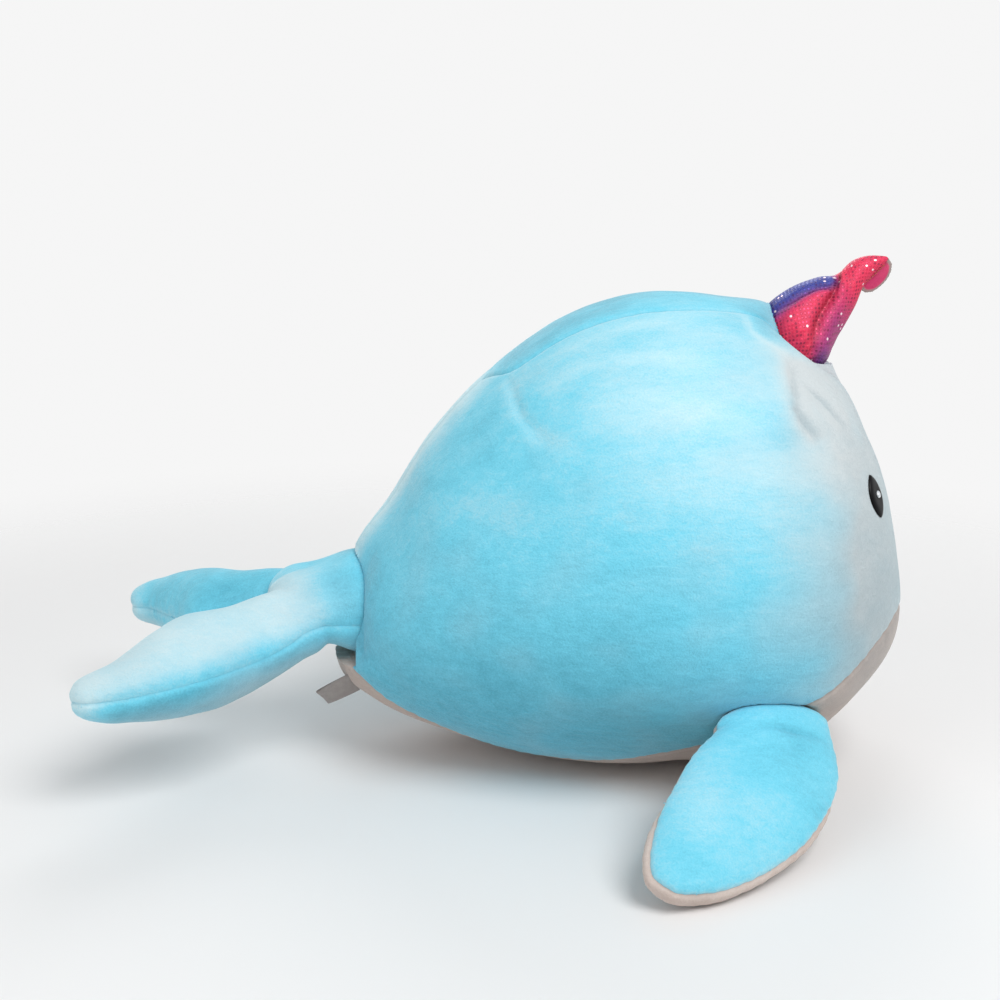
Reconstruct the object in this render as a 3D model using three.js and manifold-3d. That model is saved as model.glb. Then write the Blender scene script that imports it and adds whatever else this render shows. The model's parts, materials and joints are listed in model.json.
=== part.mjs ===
// A stuffed narwhal lying on its belly, in millimetres. +X points to its nose, +Z up,
// +Y to its left. The floor is z = 0.
import * as THREE from 'three';
import { mergeVertices } from 'three/addons/utils/BufferGeometryUtils.js';
import Module from 'manifold-3d';

const wasm = await Module();
wasm.setup();

// Cloth and clearances
const PLUSH = 2;
const FOIL_CLOTH = 0.9;
const SATIN = 1;
const SEAM_GAP = 0.3;
const FILLING_GAP = 0.35;
const SOCKET_GAP = 0.6;
const FLOOR_CUT = 0.5;

// Body: its outline from the nose over the back to the tail, and from the nose under the belly,
// as [x, z]; then its outline seen from above, as [x, half width].
const BACK_LINE = [[198, 72], [197.3, 91], [193, 121], [179, 169], [158, 204], [124, 227],
  [80, 233], [40, 225], [2, 201], [-34, 165], [-55, 132], [-72, 111], [-84, 84]];
const BELLY_LINE = [[198, 72], [185, 49.5], [166.5, 28], [147, 10.5], [126, -FLOOR_CUT],
  [85, -FLOOR_CUT], [40, -FLOOR_CUT], [-2, 7], [-36, 18.5], [-63, 29.5], [-79, 41.5], [-84.5, 57],
  [-84, 84]];
const PLAN_LINE = [[198, 0], [194, 34], [183, 61], [161, 85], [130, 101], [90, 106],
  [50, 103], [10, 91], [-30, 71], [-58, 48], [-75, 30], [-84, 0]];
// The widest level of a section as a share of its height, and how square it is below that
const WAIST = 0.46;
const LOWER_FULLNESS = 2.15;

// Seams of the body: the edge of the belly panel as [x, z], and the crown gusset as
// [x, half width] from its rear point to the horn
const BELLY_SEAM = [[215, 88], [192, 88], [183, 86], [173, 78], [153, 60], [125, 45],
  [86, 27], [40, 12], [10, 12], [-15, 18], [-37, 28], [-60, 40], [-78, 56], [-100, 72]];
const GUSSET = [[-9, 2], [4, 23], [22, 26], [64, 29], [104, 28], [132, 20], [148, 11]];

// Places on the body are given as a share of the way from nose to tail and as an angle
// down from the crown, in degrees.
const EYE_ALONG = 0.238;
const EYE_ANGLE = 49.8;
const EYE_HEIGHT = 20;
const EYE_WIDTH = 17;
const HIGHLIGHT = 4.4;
const HIGHLIGHT_RISE = 3;

// Limbs: a rounded root that turns about its hinge, then a pillow between a leading and a
// trailing edge, as [along the hinge, away from it]. Its half thickness runs from root to tip
// in shares of the root's radius.
const FLIPPER_ALONG = 0.333;
const FLIPPER_ANGLE = 121.2;
const FLIPPER_STAND_OFF = 3;
const FLIPPER_HINGE = [0.954, 0.281, -0.1];
const FLIPPER_REACH = [0.165, -0.777, -0.5];
const FLIPPER_ROOT_HALF = 30;
const FLIPPER_ROOT_RADIUS = 13;
const FLIPPER_LEADING = [[21, 30], [9, 46], [-8.5, 60.5], [-32, 73], [-59, 80]];
const FLIPPER_TRAILING = [[-46, 11], [-61, 26], [-76.5, 43], [-86.5, 58], [-89, 70]];
const FLIPPER_TIP = [-80, 79.5];
const FLIPPER_FULLNESS = [1, 0.96, 0.96, 0.88, 0.73, 0.54];

// Tail stock, hinged below the crease that ends the back
const TAIL_ALONG = 0.938;
const TAIL_DROP = 4;
const TAIL_ROOT_HALF = 30;
const TAIL_ROOT_RADIUS = 26;
const TAIL_SIDE = [[29.5, 8], [31, 18], [27, 30], [13, 41]];
const TAIL_END = [0, 44];
const TAIL_FULLNESS = [1, 0.82, 0.68, 0.59, 0.49, 0.38];
const TAIL_LIFT = [0, 0, -1.5, -3.5, -4.8, -4.5];
const TAIL_LIP = 0.5;

// Flukes, hinged on the tail stock: how far back, how far below its hinge and how far apart
const FLUKE_BACK = 27;
const FLUKE_BELOW = 7;
const FLUKES_APART = 8;
const FLUKE_REACH = [0.903, 0.416, -0.155];
const FLUKE_ROLL = -2;
const FLUKE_SETBACK = 2.4;
const FLUKE_ROOT_HALF = 16;
const FLUKE_ROOT_RADIUS = 16;
const FLUKE_LEADING = [[16, 20], [25, 48], [27, 78], [20, 102]];
const FLUKE_TRAILING = [[-22, 24], [-27, 50], [-12, 77], [2, 100]];
const FLUKE_TIP = [8, 115];
const FLUKE_FULLNESS = [1, 1.15, 1.42, 1.3, 0.86, 0.54];
const FLUKE_SAG = [0, 4.5, 2.5, 1, -0.5, -1.7];

// Horn: a ball-ended root on the crown, then a cone with a crease that winds round it
const HORN_ALONG = 0.335;
const HORN_LEAN = 9;
const HORN_ROOT_RADIUS = 21;
const HORN_LENGTH = 43;
const HORN_FULLNESS = [1, 0.85, 0.705, 0.57, 0.467, 0.38, 0.324];
const HORN_CREASE = 0.13;
const HORN_CREASE_SHARPNESS = 4;
const HORN_TURNS = 0.9;
const HORN_SLEEVE_DEPTH = 9;
const TAB_THICKNESS = 2.6;
const TAB_RADIUS = 6;
const TAB_LEAN = 3;

// Care label, sewn in below the tail
const LABEL_ALONG = 0.868;
const LABEL_ANGLE = 155;
const LABEL_DROP = 0.5;
// Its seam lies this far inside the smooth body, whose facets lie lower still.
const LABEL_SEAT = 0.45;
const LABEL_WIDTH = 15;
const LABEL_LENGTH = 17;
const LABEL_THICKNESS = 0.7;

// Numbers of faces
const BODY_RINGS = 22;
const BODY_SIDES = 24;
const RING_SPREAD = 0.06;
const LIMB_SIDES = 12;
const ROOT_RINGS = 4;
const LIMB_RINGS = 7;
const SOCKET_SIDES = 20;
const DISC_SIDES = 20;
const LINE_STEPS = 240;
const SEAM_STEPS = 40;
const BIG = 900;

// Materials
function finish(color, roughness, metalness = 0) {
  return new THREE.MeshStandardMaterial({ color, roughness, metalness });
}
const BLUE = 0x79d0e6;
const CREAM = 0xcdb8ae;
const BLACK = 0x0b0b0d;
const WHITE = 0xf2f2f2;
const PINK = 0xd9266f;
const GREY = 0xb8b4b6;

// Closed meshes and joining or cutting them
function toSolid(geometry) {
  const bare = geometry.clone();
  bare.deleteAttribute('normal');
  bare.deleteAttribute('uv');
  const merged = mergeVertices(bare, 1e-5);
  return new wasm.Manifold(new wasm.Mesh({
    numProp: 3,
    vertProperties: merged.attributes.position.array,
    triVerts: new Uint32Array(merged.index.array),
  }));
}

function toGeometry(solid) {
  const { vertProperties, triVerts } = solid.getMesh();
  const geometry = new THREE.BufferGeometry();
  geometry.setAttribute('position', new THREE.BufferAttribute(vertProperties, 3));
  geometry.setIndex(new THREE.BufferAttribute(triVerts, 1));
  geometry.computeVertexNormals();
  return geometry;
}

function cut(solid, cutters) {
  return cutters.reduce((rest, cutter) => rest.subtract(cutter), solid);
}

function named(name, solid, material) {
  const mesh = new THREE.Mesh(toGeometry(solid), material);
  mesh.name = name;
  return mesh;
}

// A box filling everything on one side of a plane square to an axis
function beyond(axis, limit, sign, matrix = new THREE.Matrix4()) {
  const centre = new THREE.Vector3();
  centre[axis] = limit + sign * BIG / 2;
  const box = new THREE.BoxGeometry(BIG, BIG, BIG);
  return toSolid(box.translate(centre.x, centre.y, centre.z).applyMatrix4(matrix));
}

// Lofted forms. A form holds rings of points and the two poles that close it.
function ringsToGeometry({ rings, start, end }) {
  const sides = rings[0].length;
  const points = [start, ...rings.flat(), end];
  const last = points.length - 1;
  const at = (ring, side) => 1 + ring * sides + (side % sides);
  const index = [];
  for (let side = 0; side < sides; side += 1) {
    index.push(0, at(0, side + 1), at(0, side));
    index.push(last, at(rings.length - 1, side), at(rings.length - 1, side + 1));
    for (let ring = 0; ring + 1 < rings.length; ring += 1) {
      index.push(at(ring, side), at(ring, side + 1), at(ring + 1, side));
      index.push(at(ring + 1, side), at(ring, side + 1), at(ring + 1, side + 1));
    }
  }
  const geometry = new THREE.BufferGeometry().setFromPoints(points);
  geometry.setIndex(index);
  return geometry;
}

// Each form turns the same way round, so that this puts its faces outwards.
function formSolid(form) {
  return toSolid(ringsToGeometry(form));
}

// The same form, drawn in by a depth measured square to its surface, or grown by a negative one
function drawnIn({ rings, start, end }, depth) {
  const sides = rings[0].length;
  const row = (ring, side) => {
    if (ring < 0) return start;
    if (ring >= rings.length) return end;
    return rings[ring][(side + sides) % sides];
  };
  const moved = rings.map((ring, i) => ring.map((point, j) => {
    const along = row(i + 1, j).clone().sub(row(i - 1, j));
    const around = row(i, j + 1).clone().sub(row(i, j - 1));
    const outward = around.cross(along).normalize();
    return point.clone().addScaledVector(outward, -depth);
  }));
  const axisAt = (pole, ring) => {
    const centre = new THREE.Vector3();
    ring.forEach((point) => centre.addScaledVector(point, 1 / sides));
    return pole.clone().sub(centre).normalize();
  };
  const startAxis = axisAt(start, rings[0]);
  const endAxis = axisAt(end, rings[rings.length - 1]);
  return {
    rings: moved,
    start: start.clone().addScaledVector(startAxis, -depth),
    end: end.clone().addScaledVector(endAxis, -depth),
  };
}

// A smooth curve through points given in the plane of x and a second size
function smoothLine(points) {
  const places = points.map(([x, other]) => new THREE.Vector3(x, other, 0));
  return new THREE.CatmullRomCurve3(places);
}

// Reads a list of evenly spaced sizes smoothly at a fraction of its length
function sizeAt(sizes, fraction) {
  const places = sizes.map((size, i) => new THREE.Vector2(i, size));
  return new THREE.SplineCurve(places).getPoint(fraction).y;
}

// Body form
const backLine = smoothLine(BACK_LINE);
const bellyLine = smoothLine(BELLY_LINE);
const planPoints = smoothLine(PLAN_LINE).getPoints(LINE_STEPS);

function halfWidthAt(x) {
  const next = planPoints.findIndex((point) => point.x <= x);
  if (next < 1) return 0;
  const before = planPoints[next - 1];
  const after = planPoints[next];
  return THREE.MathUtils.mapLinear(x, before.x, after.x, before.y, after.y);
}

// A power that keeps its sign, for sections rounder or squarer than an ellipse
function bulge(value, fullness) {
  return Math.sign(value) * Math.abs(value) ** (2 / fullness);
}

// A point on the body: along runs from the nose to the tail, angle from the crown to its right
function onBody(along, angle) {
  const top = backLine.getPointAt(along);
  const bottom = bellyLine.getPointAt(along);
  const waist = bottom.clone().lerp(top, WAIST);
  const fullness = Math.cos(angle) > 0 ? 2 : LOWER_FULLNESS;
  const up = bulge(Math.cos(angle), fullness);
  const out = bulge(Math.sin(angle), fullness);
  const reach = up > 0 ? top.clone().sub(waist) : waist.clone().sub(bottom);
  const point = waist.clone().addScaledVector(reach, up);
  return new THREE.Vector3(point.x, -halfWidthAt(waist.x) * out, point.y);
}

function outwardAt(along, angle) {
  const step = 0.002;
  const length = onBody(along + step, angle).sub(onBody(along - step, angle));
  const girth = onBody(along, angle + step).sub(onBody(along, angle - step));
  return length.cross(girth).normalize();
}

function bodyForm() {
  const rings = [];
  for (let i = 1; i < BODY_RINGS; i += 1) {
    const even = i / BODY_RINGS;
    const along = even - RING_SPREAD * Math.sin(2 * Math.PI * even);
    const ring = [];
    for (let j = 0; j < BODY_SIDES; j += 1) {
      ring.push(onBody(along, (-2 * Math.PI * j) / BODY_SIDES));
    }
    rings.push(ring);
  }
  return { rings, start: onBody(0, 0), end: onBody(1, 0) };
}

// A limb lies along local +Y from its hinge, which runs along local X. Its root is a solid of
// revolution about the hinge, so that it turns in its socket.
function limbForm({ rootHalf, rootRadius, leading, trailing, tip, fullness, lift = [0, 0] }) {
  const rings = [];
  const ring = (centre, chord, thickness, rise) => {
    const points = [];
    for (let j = 0; j < LIMB_SIDES; j += 1) {
      const angle = (2 * Math.PI * j) / LIMB_SIDES;
      const point = centre.clone().addScaledVector(chord, Math.cos(angle));
      point.z = rise - thickness * Math.sin(angle);
      points.push(point);
    }
    rings.push(points);
  };
  for (let k = 1; k <= ROOT_RINGS; k += 1) {
    const turn = (k / ROOT_RINGS) * Math.PI / 2;
    const centre = new THREE.Vector3(0, -rootRadius * Math.cos(turn), 0);
    const chord = new THREE.Vector3(rootHalf * Math.sin(turn), 0, 0);
    ring(centre, chord, rootRadius * Math.sin(turn), 0);
  }
  const leadingEdge = smoothLine([[rootHalf, 0], ...leading, tip]);
  const trailingEdge = smoothLine([[-rootHalf, 0], ...trailing, tip]);
  for (let k = 1; k < LIMB_RINGS; k += 1) {
    const fraction = k / LIMB_RINGS;
    const front = leadingEdge.getPointAt(fraction);
    const rear = trailingEdge.getPointAt(fraction);
    const centre = front.clone().lerp(rear, 0.5);
    const chord = front.clone().sub(rear).multiplyScalar(0.5);
    const halfThickness = rootRadius * sizeAt(fullness, fraction);
    ring(centre, chord, halfThickness, sizeAt(lift, fraction));
  }
  const start = new THREE.Vector3(0, -rootRadius, 0);
  const end = new THREE.Vector3(tip[0], tip[1], lift[lift.length - 1]);
  return { rings, start, end };
}

// The hollow that a limb's root turns in
function socket(rootHalf, rootRadius, matrix) {
  const half = rootHalf + SOCKET_GAP;
  const radius = rootRadius + SOCKET_GAP;
  const ball = new THREE.SphereGeometry(1, SOCKET_SIDES, SOCKET_SIDES / 2);
  ball.rotateZ(Math.PI / 2);
  ball.scale(half, radius, radius);
  return toSolid(ball.applyMatrix4(matrix));
}

// Places a group at a hinge: local X is the hinge, local Y leads away from the body
function placeAt(group, origin, hinge, reach) {
  const x = hinge.clone().normalize();
  const y = reach.clone().addScaledVector(x, -reach.dot(x)).normalize();
  const z = x.clone().cross(y);
  group.matrix.makeBasis(x, y, z).setPosition(origin);
  group.matrix.decompose(group.position, group.quaternion, group.scale);
  group.updateMatrix();
  return group;
}

// A pillow sewn from two panels round its filling. upper is the local z direction of its upper
// panel.
function addPillow(group, names, form, upper, cutters = []) {
  const outer = formSolid(form);
  const hollow = formSolid(drawnIn(form, PLUSH));
  const shell = cut(outer.subtract(hollow), cutters);
  const above = shell.subtract(beyond('z', upper * SEAM_GAP / 2, -upper));
  const below = shell.subtract(beyond('z', -upper * SEAM_GAP / 2, upper));
  const filling = cut(formSolid(drawnIn(form, PLUSH + FILLING_GAP)), cutters);
  group.add(named(names.upper, above, finish(names.upperColor, 0.95)));
  group.add(named(names.lower, below, finish(names.lowerColor, 0.95)));
  group.add(named(names.filling, filling, finish(WHITE, 1)));
}

const toy = new THREE.Group();
const sides = [['right', -1], ['left', 1]];
const upright = new THREE.Vector3(0, 0, 1);
const vector = ([x, y, z], side) => new THREE.Vector3(x, -side * y, z);

// Tail stock, which carries the flukes
const tailForm = limbForm({
  rootHalf: TAIL_ROOT_HALF,
  rootRadius: TAIL_ROOT_RADIUS,
  leading: TAIL_SIDE,
  trailing: TAIL_SIDE.map(([out, back]) => [-out, back]),
  tip: TAIL_END,
  fullness: TAIL_FULLNESS,
  lift: TAIL_LIFT,
});
const tailCentre = onBody(TAIL_ALONG, 0);
tailCentre.z -= TAIL_ROOT_RADIUS + TAIL_DROP;
const tail = placeAt(
  new THREE.Group(),
  tailCentre,
  new THREE.Vector3(0, 1, 0),
  new THREE.Vector3(-1, 0, 0),
);
tail.name = 'tail';
toy.add(tail);

const flukeSockets = [];
for (const [sideName, side] of sides) {
  const [reachBack, reachOut, reachUp] = FLUKE_REACH;
  const reach = new THREE.Vector3(side * reachOut, reachBack, reachUp);
  const hinge = reach.clone().cross(upright).multiplyScalar(side).normalize();
  hinge.applyAxisAngle(reach.clone().normalize(), THREE.MathUtils.degToRad(FLUKE_ROLL) * side);
  const out = FLUKE_ROOT_HALF * Math.abs(hinge.x) + FLUKES_APART / 2;
  const origin = new THREE.Vector3(side * out, FLUKE_BACK, -FLUKE_BELOW);
  const fluke = placeAt(new THREE.Group(), origin, hinge, reach);
  const form = limbForm({
    rootHalf: FLUKE_ROOT_HALF,
    rootRadius: FLUKE_ROOT_RADIUS,
    leading: FLUKE_LEADING,
    trailing: FLUKE_TRAILING,
    tip: FLUKE_TIP,
    fullness: FLUKE_FULLNESS,
    lift: FLUKE_SAG.map((sag) => -side * sag),
  });
  addPillow(fluke, {
    upper: `${sideName}_fluke_upper_panel`,
    lower: `${sideName}_fluke_lower_panel`,
    filling: `${sideName}_fluke_filling`,
    upperColor: BLUE,
    lowerColor: BLUE,
  }, form, side);
  fluke.name = `${sideName}_fluke`;
  tail.add(fluke);
  flukeSockets.push(socket(FLUKE_ROOT_HALF, FLUKE_ROOT_RADIUS, fluke.matrix));
  flukeSockets.push(beyond('y', -FLUKE_SETBACK, 1, fluke.matrix));
}
addPillow(tail, {
  upper: 'tail_upper_panel',
  lower: 'tail_lower_panel',
  filling: 'tail_filling',
  upperColor: BLUE,
  lowerColor: BLUE,
}, tailForm, 1, flukeSockets);

// The body ends at the tail's hinge, but for a lip below it.
const behindHinge = beyond('y', 0, 1, tail.matrix);
const bodySockets = [
  socket(TAIL_ROOT_HALF, TAIL_ROOT_RADIUS, tail.matrix),
  behindHinge.intersect(beyond('z', TAIL_LIP - TAIL_ROOT_RADIUS, 1, tail.matrix)),
];

// Flippers
for (const [sideName, side] of sides) {
  const angle = THREE.MathUtils.degToRad(FLIPPER_ANGLE) * -side;
  const origin = onBody(FLIPPER_ALONG, angle);
  origin.addScaledVector(outwardAt(FLIPPER_ALONG, angle), FLIPPER_STAND_OFF);
  const hinge = vector(FLIPPER_HINGE, side);
  const reach = vector(FLIPPER_REACH, side);
  const flipper = placeAt(new THREE.Group(), origin, hinge, reach);
  const form = limbForm({
    rootHalf: FLIPPER_ROOT_HALF,
    rootRadius: FLIPPER_ROOT_RADIUS,
    leading: FLIPPER_LEADING,
    trailing: FLIPPER_TRAILING,
    tip: FLIPPER_TIP,
    fullness: FLIPPER_FULLNESS,
  });
  addPillow(flipper, {
    upper: `${sideName}_flipper_top`,
    lower: `${sideName}_flipper_underside`,
    filling: `${sideName}_flipper_filling`,
    upperColor: BLUE,
    lowerColor: CREAM,
  }, form, side);
  flipper.name = `${sideName}_flipper`;
  toy.add(flipper);
  bodySockets.push(socket(FLIPPER_ROOT_HALF, FLIPPER_ROOT_RADIUS, flipper.matrix));
}

// Horn
function hornForm() {
  const rings = [];
  const ring = (height, radius, crease) => {
    const points = [];
    const turned = (height / HORN_LENGTH) * HORN_TURNS * 2 * Math.PI;
    for (let j = 0; j < LIMB_SIDES; j += 1) {
      const angle = (2 * Math.PI * j) / LIMB_SIDES;
      const nearCrease = Math.max(0, Math.cos(angle - turned)) ** HORN_CREASE_SHARPNESS;
      const size = radius * (1 - crease * nearCrease);
      points.push(new THREE.Vector3(size * Math.cos(angle), height, -size * Math.sin(angle)));
    }
    rings.push(points);
  };
  for (let k = 1; k <= ROOT_RINGS; k += 1) {
    const turn = (k / ROOT_RINGS) * Math.PI / 2;
    ring(-HORN_ROOT_RADIUS * Math.cos(turn), HORN_ROOT_RADIUS * Math.sin(turn), 0);
  }
  for (let k = 1; k <= LIMB_RINGS; k += 1) {
    const fraction = k / LIMB_RINGS;
    ring(HORN_LENGTH * fraction, HORN_ROOT_RADIUS * sizeAt(HORN_FULLNESS, fraction), HORN_CREASE);
  }
  return {
    rings,
    start: new THREE.Vector3(0, -HORN_ROOT_RADIUS, 0),
    end: new THREE.Vector3(0, HORN_LENGTH + TAB_RADIUS, 0),
  };
}

const hornNormal = outwardAt(HORN_ALONG, 0);
const hornReach = hornNormal.clone().applyAxisAngle(
  new THREE.Vector3(0, 1, 0),
  THREE.MathUtils.degToRad(HORN_LEAN),
);
const horn = placeAt(
  new THREE.Group(),
  onBody(HORN_ALONG, 0),
  new THREE.Vector3(0, 1, 0),
  hornReach,
);
horn.name = 'horn';
toy.add(horn);
const hornShape = hornForm();
const hornTip = beyond('y', HORN_LENGTH, 1);
const hornSleeve = formSolid(hornShape)
  .subtract(formSolid(drawnIn(hornShape, FOIL_CLOTH)))
  .subtract(hornTip)
  .subtract(beyond('y', -HORN_SLEEVE_DEPTH, -1));
const hornFilling = formSolid(drawnIn(hornShape, FOIL_CLOTH + FILLING_GAP)).subtract(hornTip);
horn.add(named('horn_sleeve', hornSleeve, finish(PINK, 0.35, 0.4)));
horn.add(named('horn_filling', hornFilling, finish(WHITE, 1)));
const tab = new THREE.CylinderGeometry(TAB_RADIUS, TAB_RADIUS, TAB_THICKNESS, DISC_SIDES);
tab.rotateZ(Math.PI / 2).translate(0, HORN_LENGTH + SEAM_GAP + TAB_RADIUS, TAB_LEAN);
horn.add(named('horn_tip_tab', toSolid(tab), finish(PINK, 0.4, 0.3)));
bodySockets.push(socket(HORN_ROOT_RADIUS, HORN_ROOT_RADIUS, horn.matrix));

// Body panels, cut from one shell along their seams
function bellyZone(margin) {
  const seam = smoothLine(BELLY_SEAM).getPoints(SEAM_STEPS);
  const shape = new THREE.Shape();
  shape.moveTo(BELLY_SEAM[0][0], -BIG / 4);
  seam.forEach(({ x, y }) => shape.lineTo(x, y + margin));
  shape.lineTo(BELLY_SEAM[BELLY_SEAM.length - 1][0], -BIG / 4);
  const zone = new THREE.ExtrudeGeometry(shape, { depth: BIG, bevelEnabled: false });
  return toSolid(zone.rotateX(Math.PI / 2).translate(0, BIG / 2, 0));
}

function gussetZone(margin) {
  const edge = smoothLine(GUSSET).getPoints(SEAM_STEPS / 2);
  const shape = new THREE.Shape();
  const rear = edge[0].x - 2 * margin;
  const front = edge[edge.length - 1].x + 2 * margin;
  shape.moveTo(rear, -edge[0].y);
  edge.forEach(({ x, y }) => shape.lineTo(x, -y - margin));
  shape.lineTo(front, -edge[edge.length - 1].y);
  shape.lineTo(front, edge[edge.length - 1].y);
  edge.reverse().forEach(({ x, y }) => shape.lineTo(x, y + margin));
  shape.lineTo(rear, edge[edge.length - 1].y);
  const zone = new THREE.ExtrudeGeometry(shape, { depth: BIG, bevelEnabled: false });
  return toSolid(zone.translate(0, 0, BELLY_SEAM[0][1]));
}

const body = bodyForm();
const skinInside = formSolid(drawnIn(body, PLUSH)).subtract(beyond('z', PLUSH, -1));
const skin = cut(formSolid(body).subtract(beyond('z', 0, -1)).subtract(skinInside), bodySockets);
const sideSkin = skin.subtract(bellyZone(SEAM_GAP)).subtract(gussetZone(SEAM_GAP));
const rightPanel = sideSkin.subtract(beyond('y', -SEAM_GAP / 2, 1));
const leftPanel = sideSkin.subtract(beyond('y', SEAM_GAP / 2, -1));
const filling = cut(
  formSolid(drawnIn(body, PLUSH + FILLING_GAP)).subtract(beyond('z', PLUSH + FILLING_GAP, -1)),
  bodySockets,
);
toy.add(named('right_side_panel', rightPanel, finish(BLUE, 0.95)));
toy.add(named('left_side_panel', leftPanel, finish(BLUE, 0.95)));
toy.add(named('crown_gusset', skin.intersect(gussetZone(0)), finish(BLUE, 0.95)));
toy.add(named('belly_panel', skin.intersect(bellyZone(0)), finish(CREAM, 0.95)));
toy.add(named('body_filling', filling, finish(WHITE, 1)));

// Eyes and their highlights, curved like the face below them
function layer(lowest, thickness) {
  return formSolid(drawnIn(body, -lowest - thickness)).subtract(formSolid(drawnIn(body, -lowest)));
}

function disc(centre, normal, width, height) {
  const post = new THREE.CylinderGeometry(1, 1, EYE_WIDTH, DISC_SIDES);
  post.scale(width / 2, 1, height / 2);
  const group = placeAt(new THREE.Group(), centre, new THREE.Vector3(-normal.y, normal.x, 0), normal);
  return toSolid(post.applyMatrix4(group.matrix));
}

const satin = layer(SEAM_GAP, SATIN);
const highlightLayer = layer(2 * SEAM_GAP + SATIN, SATIN / 2);
for (const [sideName, side] of sides) {
  const angle = THREE.MathUtils.degToRad(EYE_ANGLE) * -side;
  const centre = onBody(EYE_ALONG, angle);
  const normal = outwardAt(EYE_ALONG, angle);
  const eye = satin.intersect(disc(centre, normal, EYE_WIDTH, EYE_HEIGHT));
  toy.add(named(`${sideName}_eye`, eye, finish(BLACK, 0.35)));
  const raised = centre.clone().addScaledVector(upright, HIGHLIGHT_RISE);
  const spot = highlightLayer.intersect(disc(raised, normal, HIGHLIGHT, HIGHLIGHT));
  toy.add(named(`${sideName}_eye_highlight`, spot, finish(WHITE, 0.6)));
}

// Care label, sewn in below the tail
const labelAngle = THREE.MathUtils.degToRad(LABEL_ANGLE);
const labelNormal = outwardAt(LABEL_ALONG, labelAngle);
const labelReach = new THREE.Vector3(-1, 0, -LABEL_DROP);
const labelGroup = placeAt(
  new THREE.Group(),
  onBody(LABEL_ALONG, labelAngle).addScaledVector(labelNormal, LABEL_THICKNESS / 2 - LABEL_SEAT),
  labelNormal.clone().cross(labelReach),
  labelReach,
);
const label = new THREE.BoxGeometry(LABEL_WIDTH, LABEL_LENGTH, LABEL_THICKNESS);
label.translate(0, LABEL_LENGTH / 2, 0);
labelGroup.add(named('care_label', toSolid(label), finish(GREY, 0.6)));
labelGroup.name = 'label';
toy.add(labelGroup);

// The origin lies on the floor below the middle of the toy's length.
const extent = new THREE.Box3().setFromObject(toy, true);
toy.position.x = -(extent.min.x + extent.max.x) / 2;

export default toy;
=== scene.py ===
# %% [markdown]
# # A stuffed narwhal
# The toy lies on its cream belly: a round blue body of short brushed plush, two flippers, a
# whale's tail and a small horn of pink foil cloth. The solids come from the frame, and each
# soft one is replaced here by a finer piece of the same form, with its seams, its puckers
# and its pile. Sizes are in millimetres until a mesh is made, as on a sewing pattern.

import json
import math

import bpy
import bmesh
import numpy as np
from mathutils import Matrix, Vector, noise
from mathutils.bvhtree import BVHTree
from mathutils.kdtree import KDTree


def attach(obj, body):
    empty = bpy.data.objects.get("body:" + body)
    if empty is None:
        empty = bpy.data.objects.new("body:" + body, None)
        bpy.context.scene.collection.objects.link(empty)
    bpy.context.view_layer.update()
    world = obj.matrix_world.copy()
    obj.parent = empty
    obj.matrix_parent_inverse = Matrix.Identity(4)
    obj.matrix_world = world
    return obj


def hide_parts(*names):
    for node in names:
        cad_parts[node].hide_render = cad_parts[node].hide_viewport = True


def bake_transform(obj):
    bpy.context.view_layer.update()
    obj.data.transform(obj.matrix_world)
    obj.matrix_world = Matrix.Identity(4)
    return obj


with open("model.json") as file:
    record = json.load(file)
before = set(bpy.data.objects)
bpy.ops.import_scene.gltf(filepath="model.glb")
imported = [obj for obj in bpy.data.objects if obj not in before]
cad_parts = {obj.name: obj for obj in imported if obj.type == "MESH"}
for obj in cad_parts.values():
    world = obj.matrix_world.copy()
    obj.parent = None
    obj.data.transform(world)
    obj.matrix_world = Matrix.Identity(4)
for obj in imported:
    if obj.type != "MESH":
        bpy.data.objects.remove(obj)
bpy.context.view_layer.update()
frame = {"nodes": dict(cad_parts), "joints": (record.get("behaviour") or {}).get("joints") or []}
bpy.ops.object.select_all(action="DESELECT")
print("nodes in the frame:", len(frame["nodes"]))

MM = 0.001
# The outline's own x starts this far behind the middle of the toy's length.
SHIFT = np.array([0.861, 0, 0])

# %% [markdown]
# ## The camera
# The photograph was taken from the toy's right, slightly above it, with a normal lens. The
# camera stands at the same place, so that the render can be laid beside the photograph.

# %% Camera
CAMERA_PLACE = (-45.76, -666.67, 289.61)
CAMERA_AIM = (0.86, 0, 130.4)
LENS = 49.46

camera_data = bpy.data.cameras.new("camera")
camera_data.lens = LENS
camera = bpy.data.objects.new("camera", camera_data)
bpy.context.scene.collection.objects.link(camera)
bpy.context.scene.camera = camera
camera.location = Vector(CAMERA_PLACE) * MM
direction = (Vector(CAMERA_AIM) - Vector(CAMERA_PLACE)).normalized()
camera.rotation_euler = direction.to_track_quat("-Z", "Y").to_euler()
print("camera at", tuple(round(c, 3) for c in camera.location))

# %% [markdown]
# ## Outlines of the body
# A stuffed body has no straight line in it. It is drawn as a sewing pattern is, by its
# outline from the side and from above. Every point of its skin then has a share of the way
# from nose to tail and an angle down from the crown. Writing the skin as such a formula,
# and not as a finished mesh, lets each panel be cut exactly along its seams.

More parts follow.
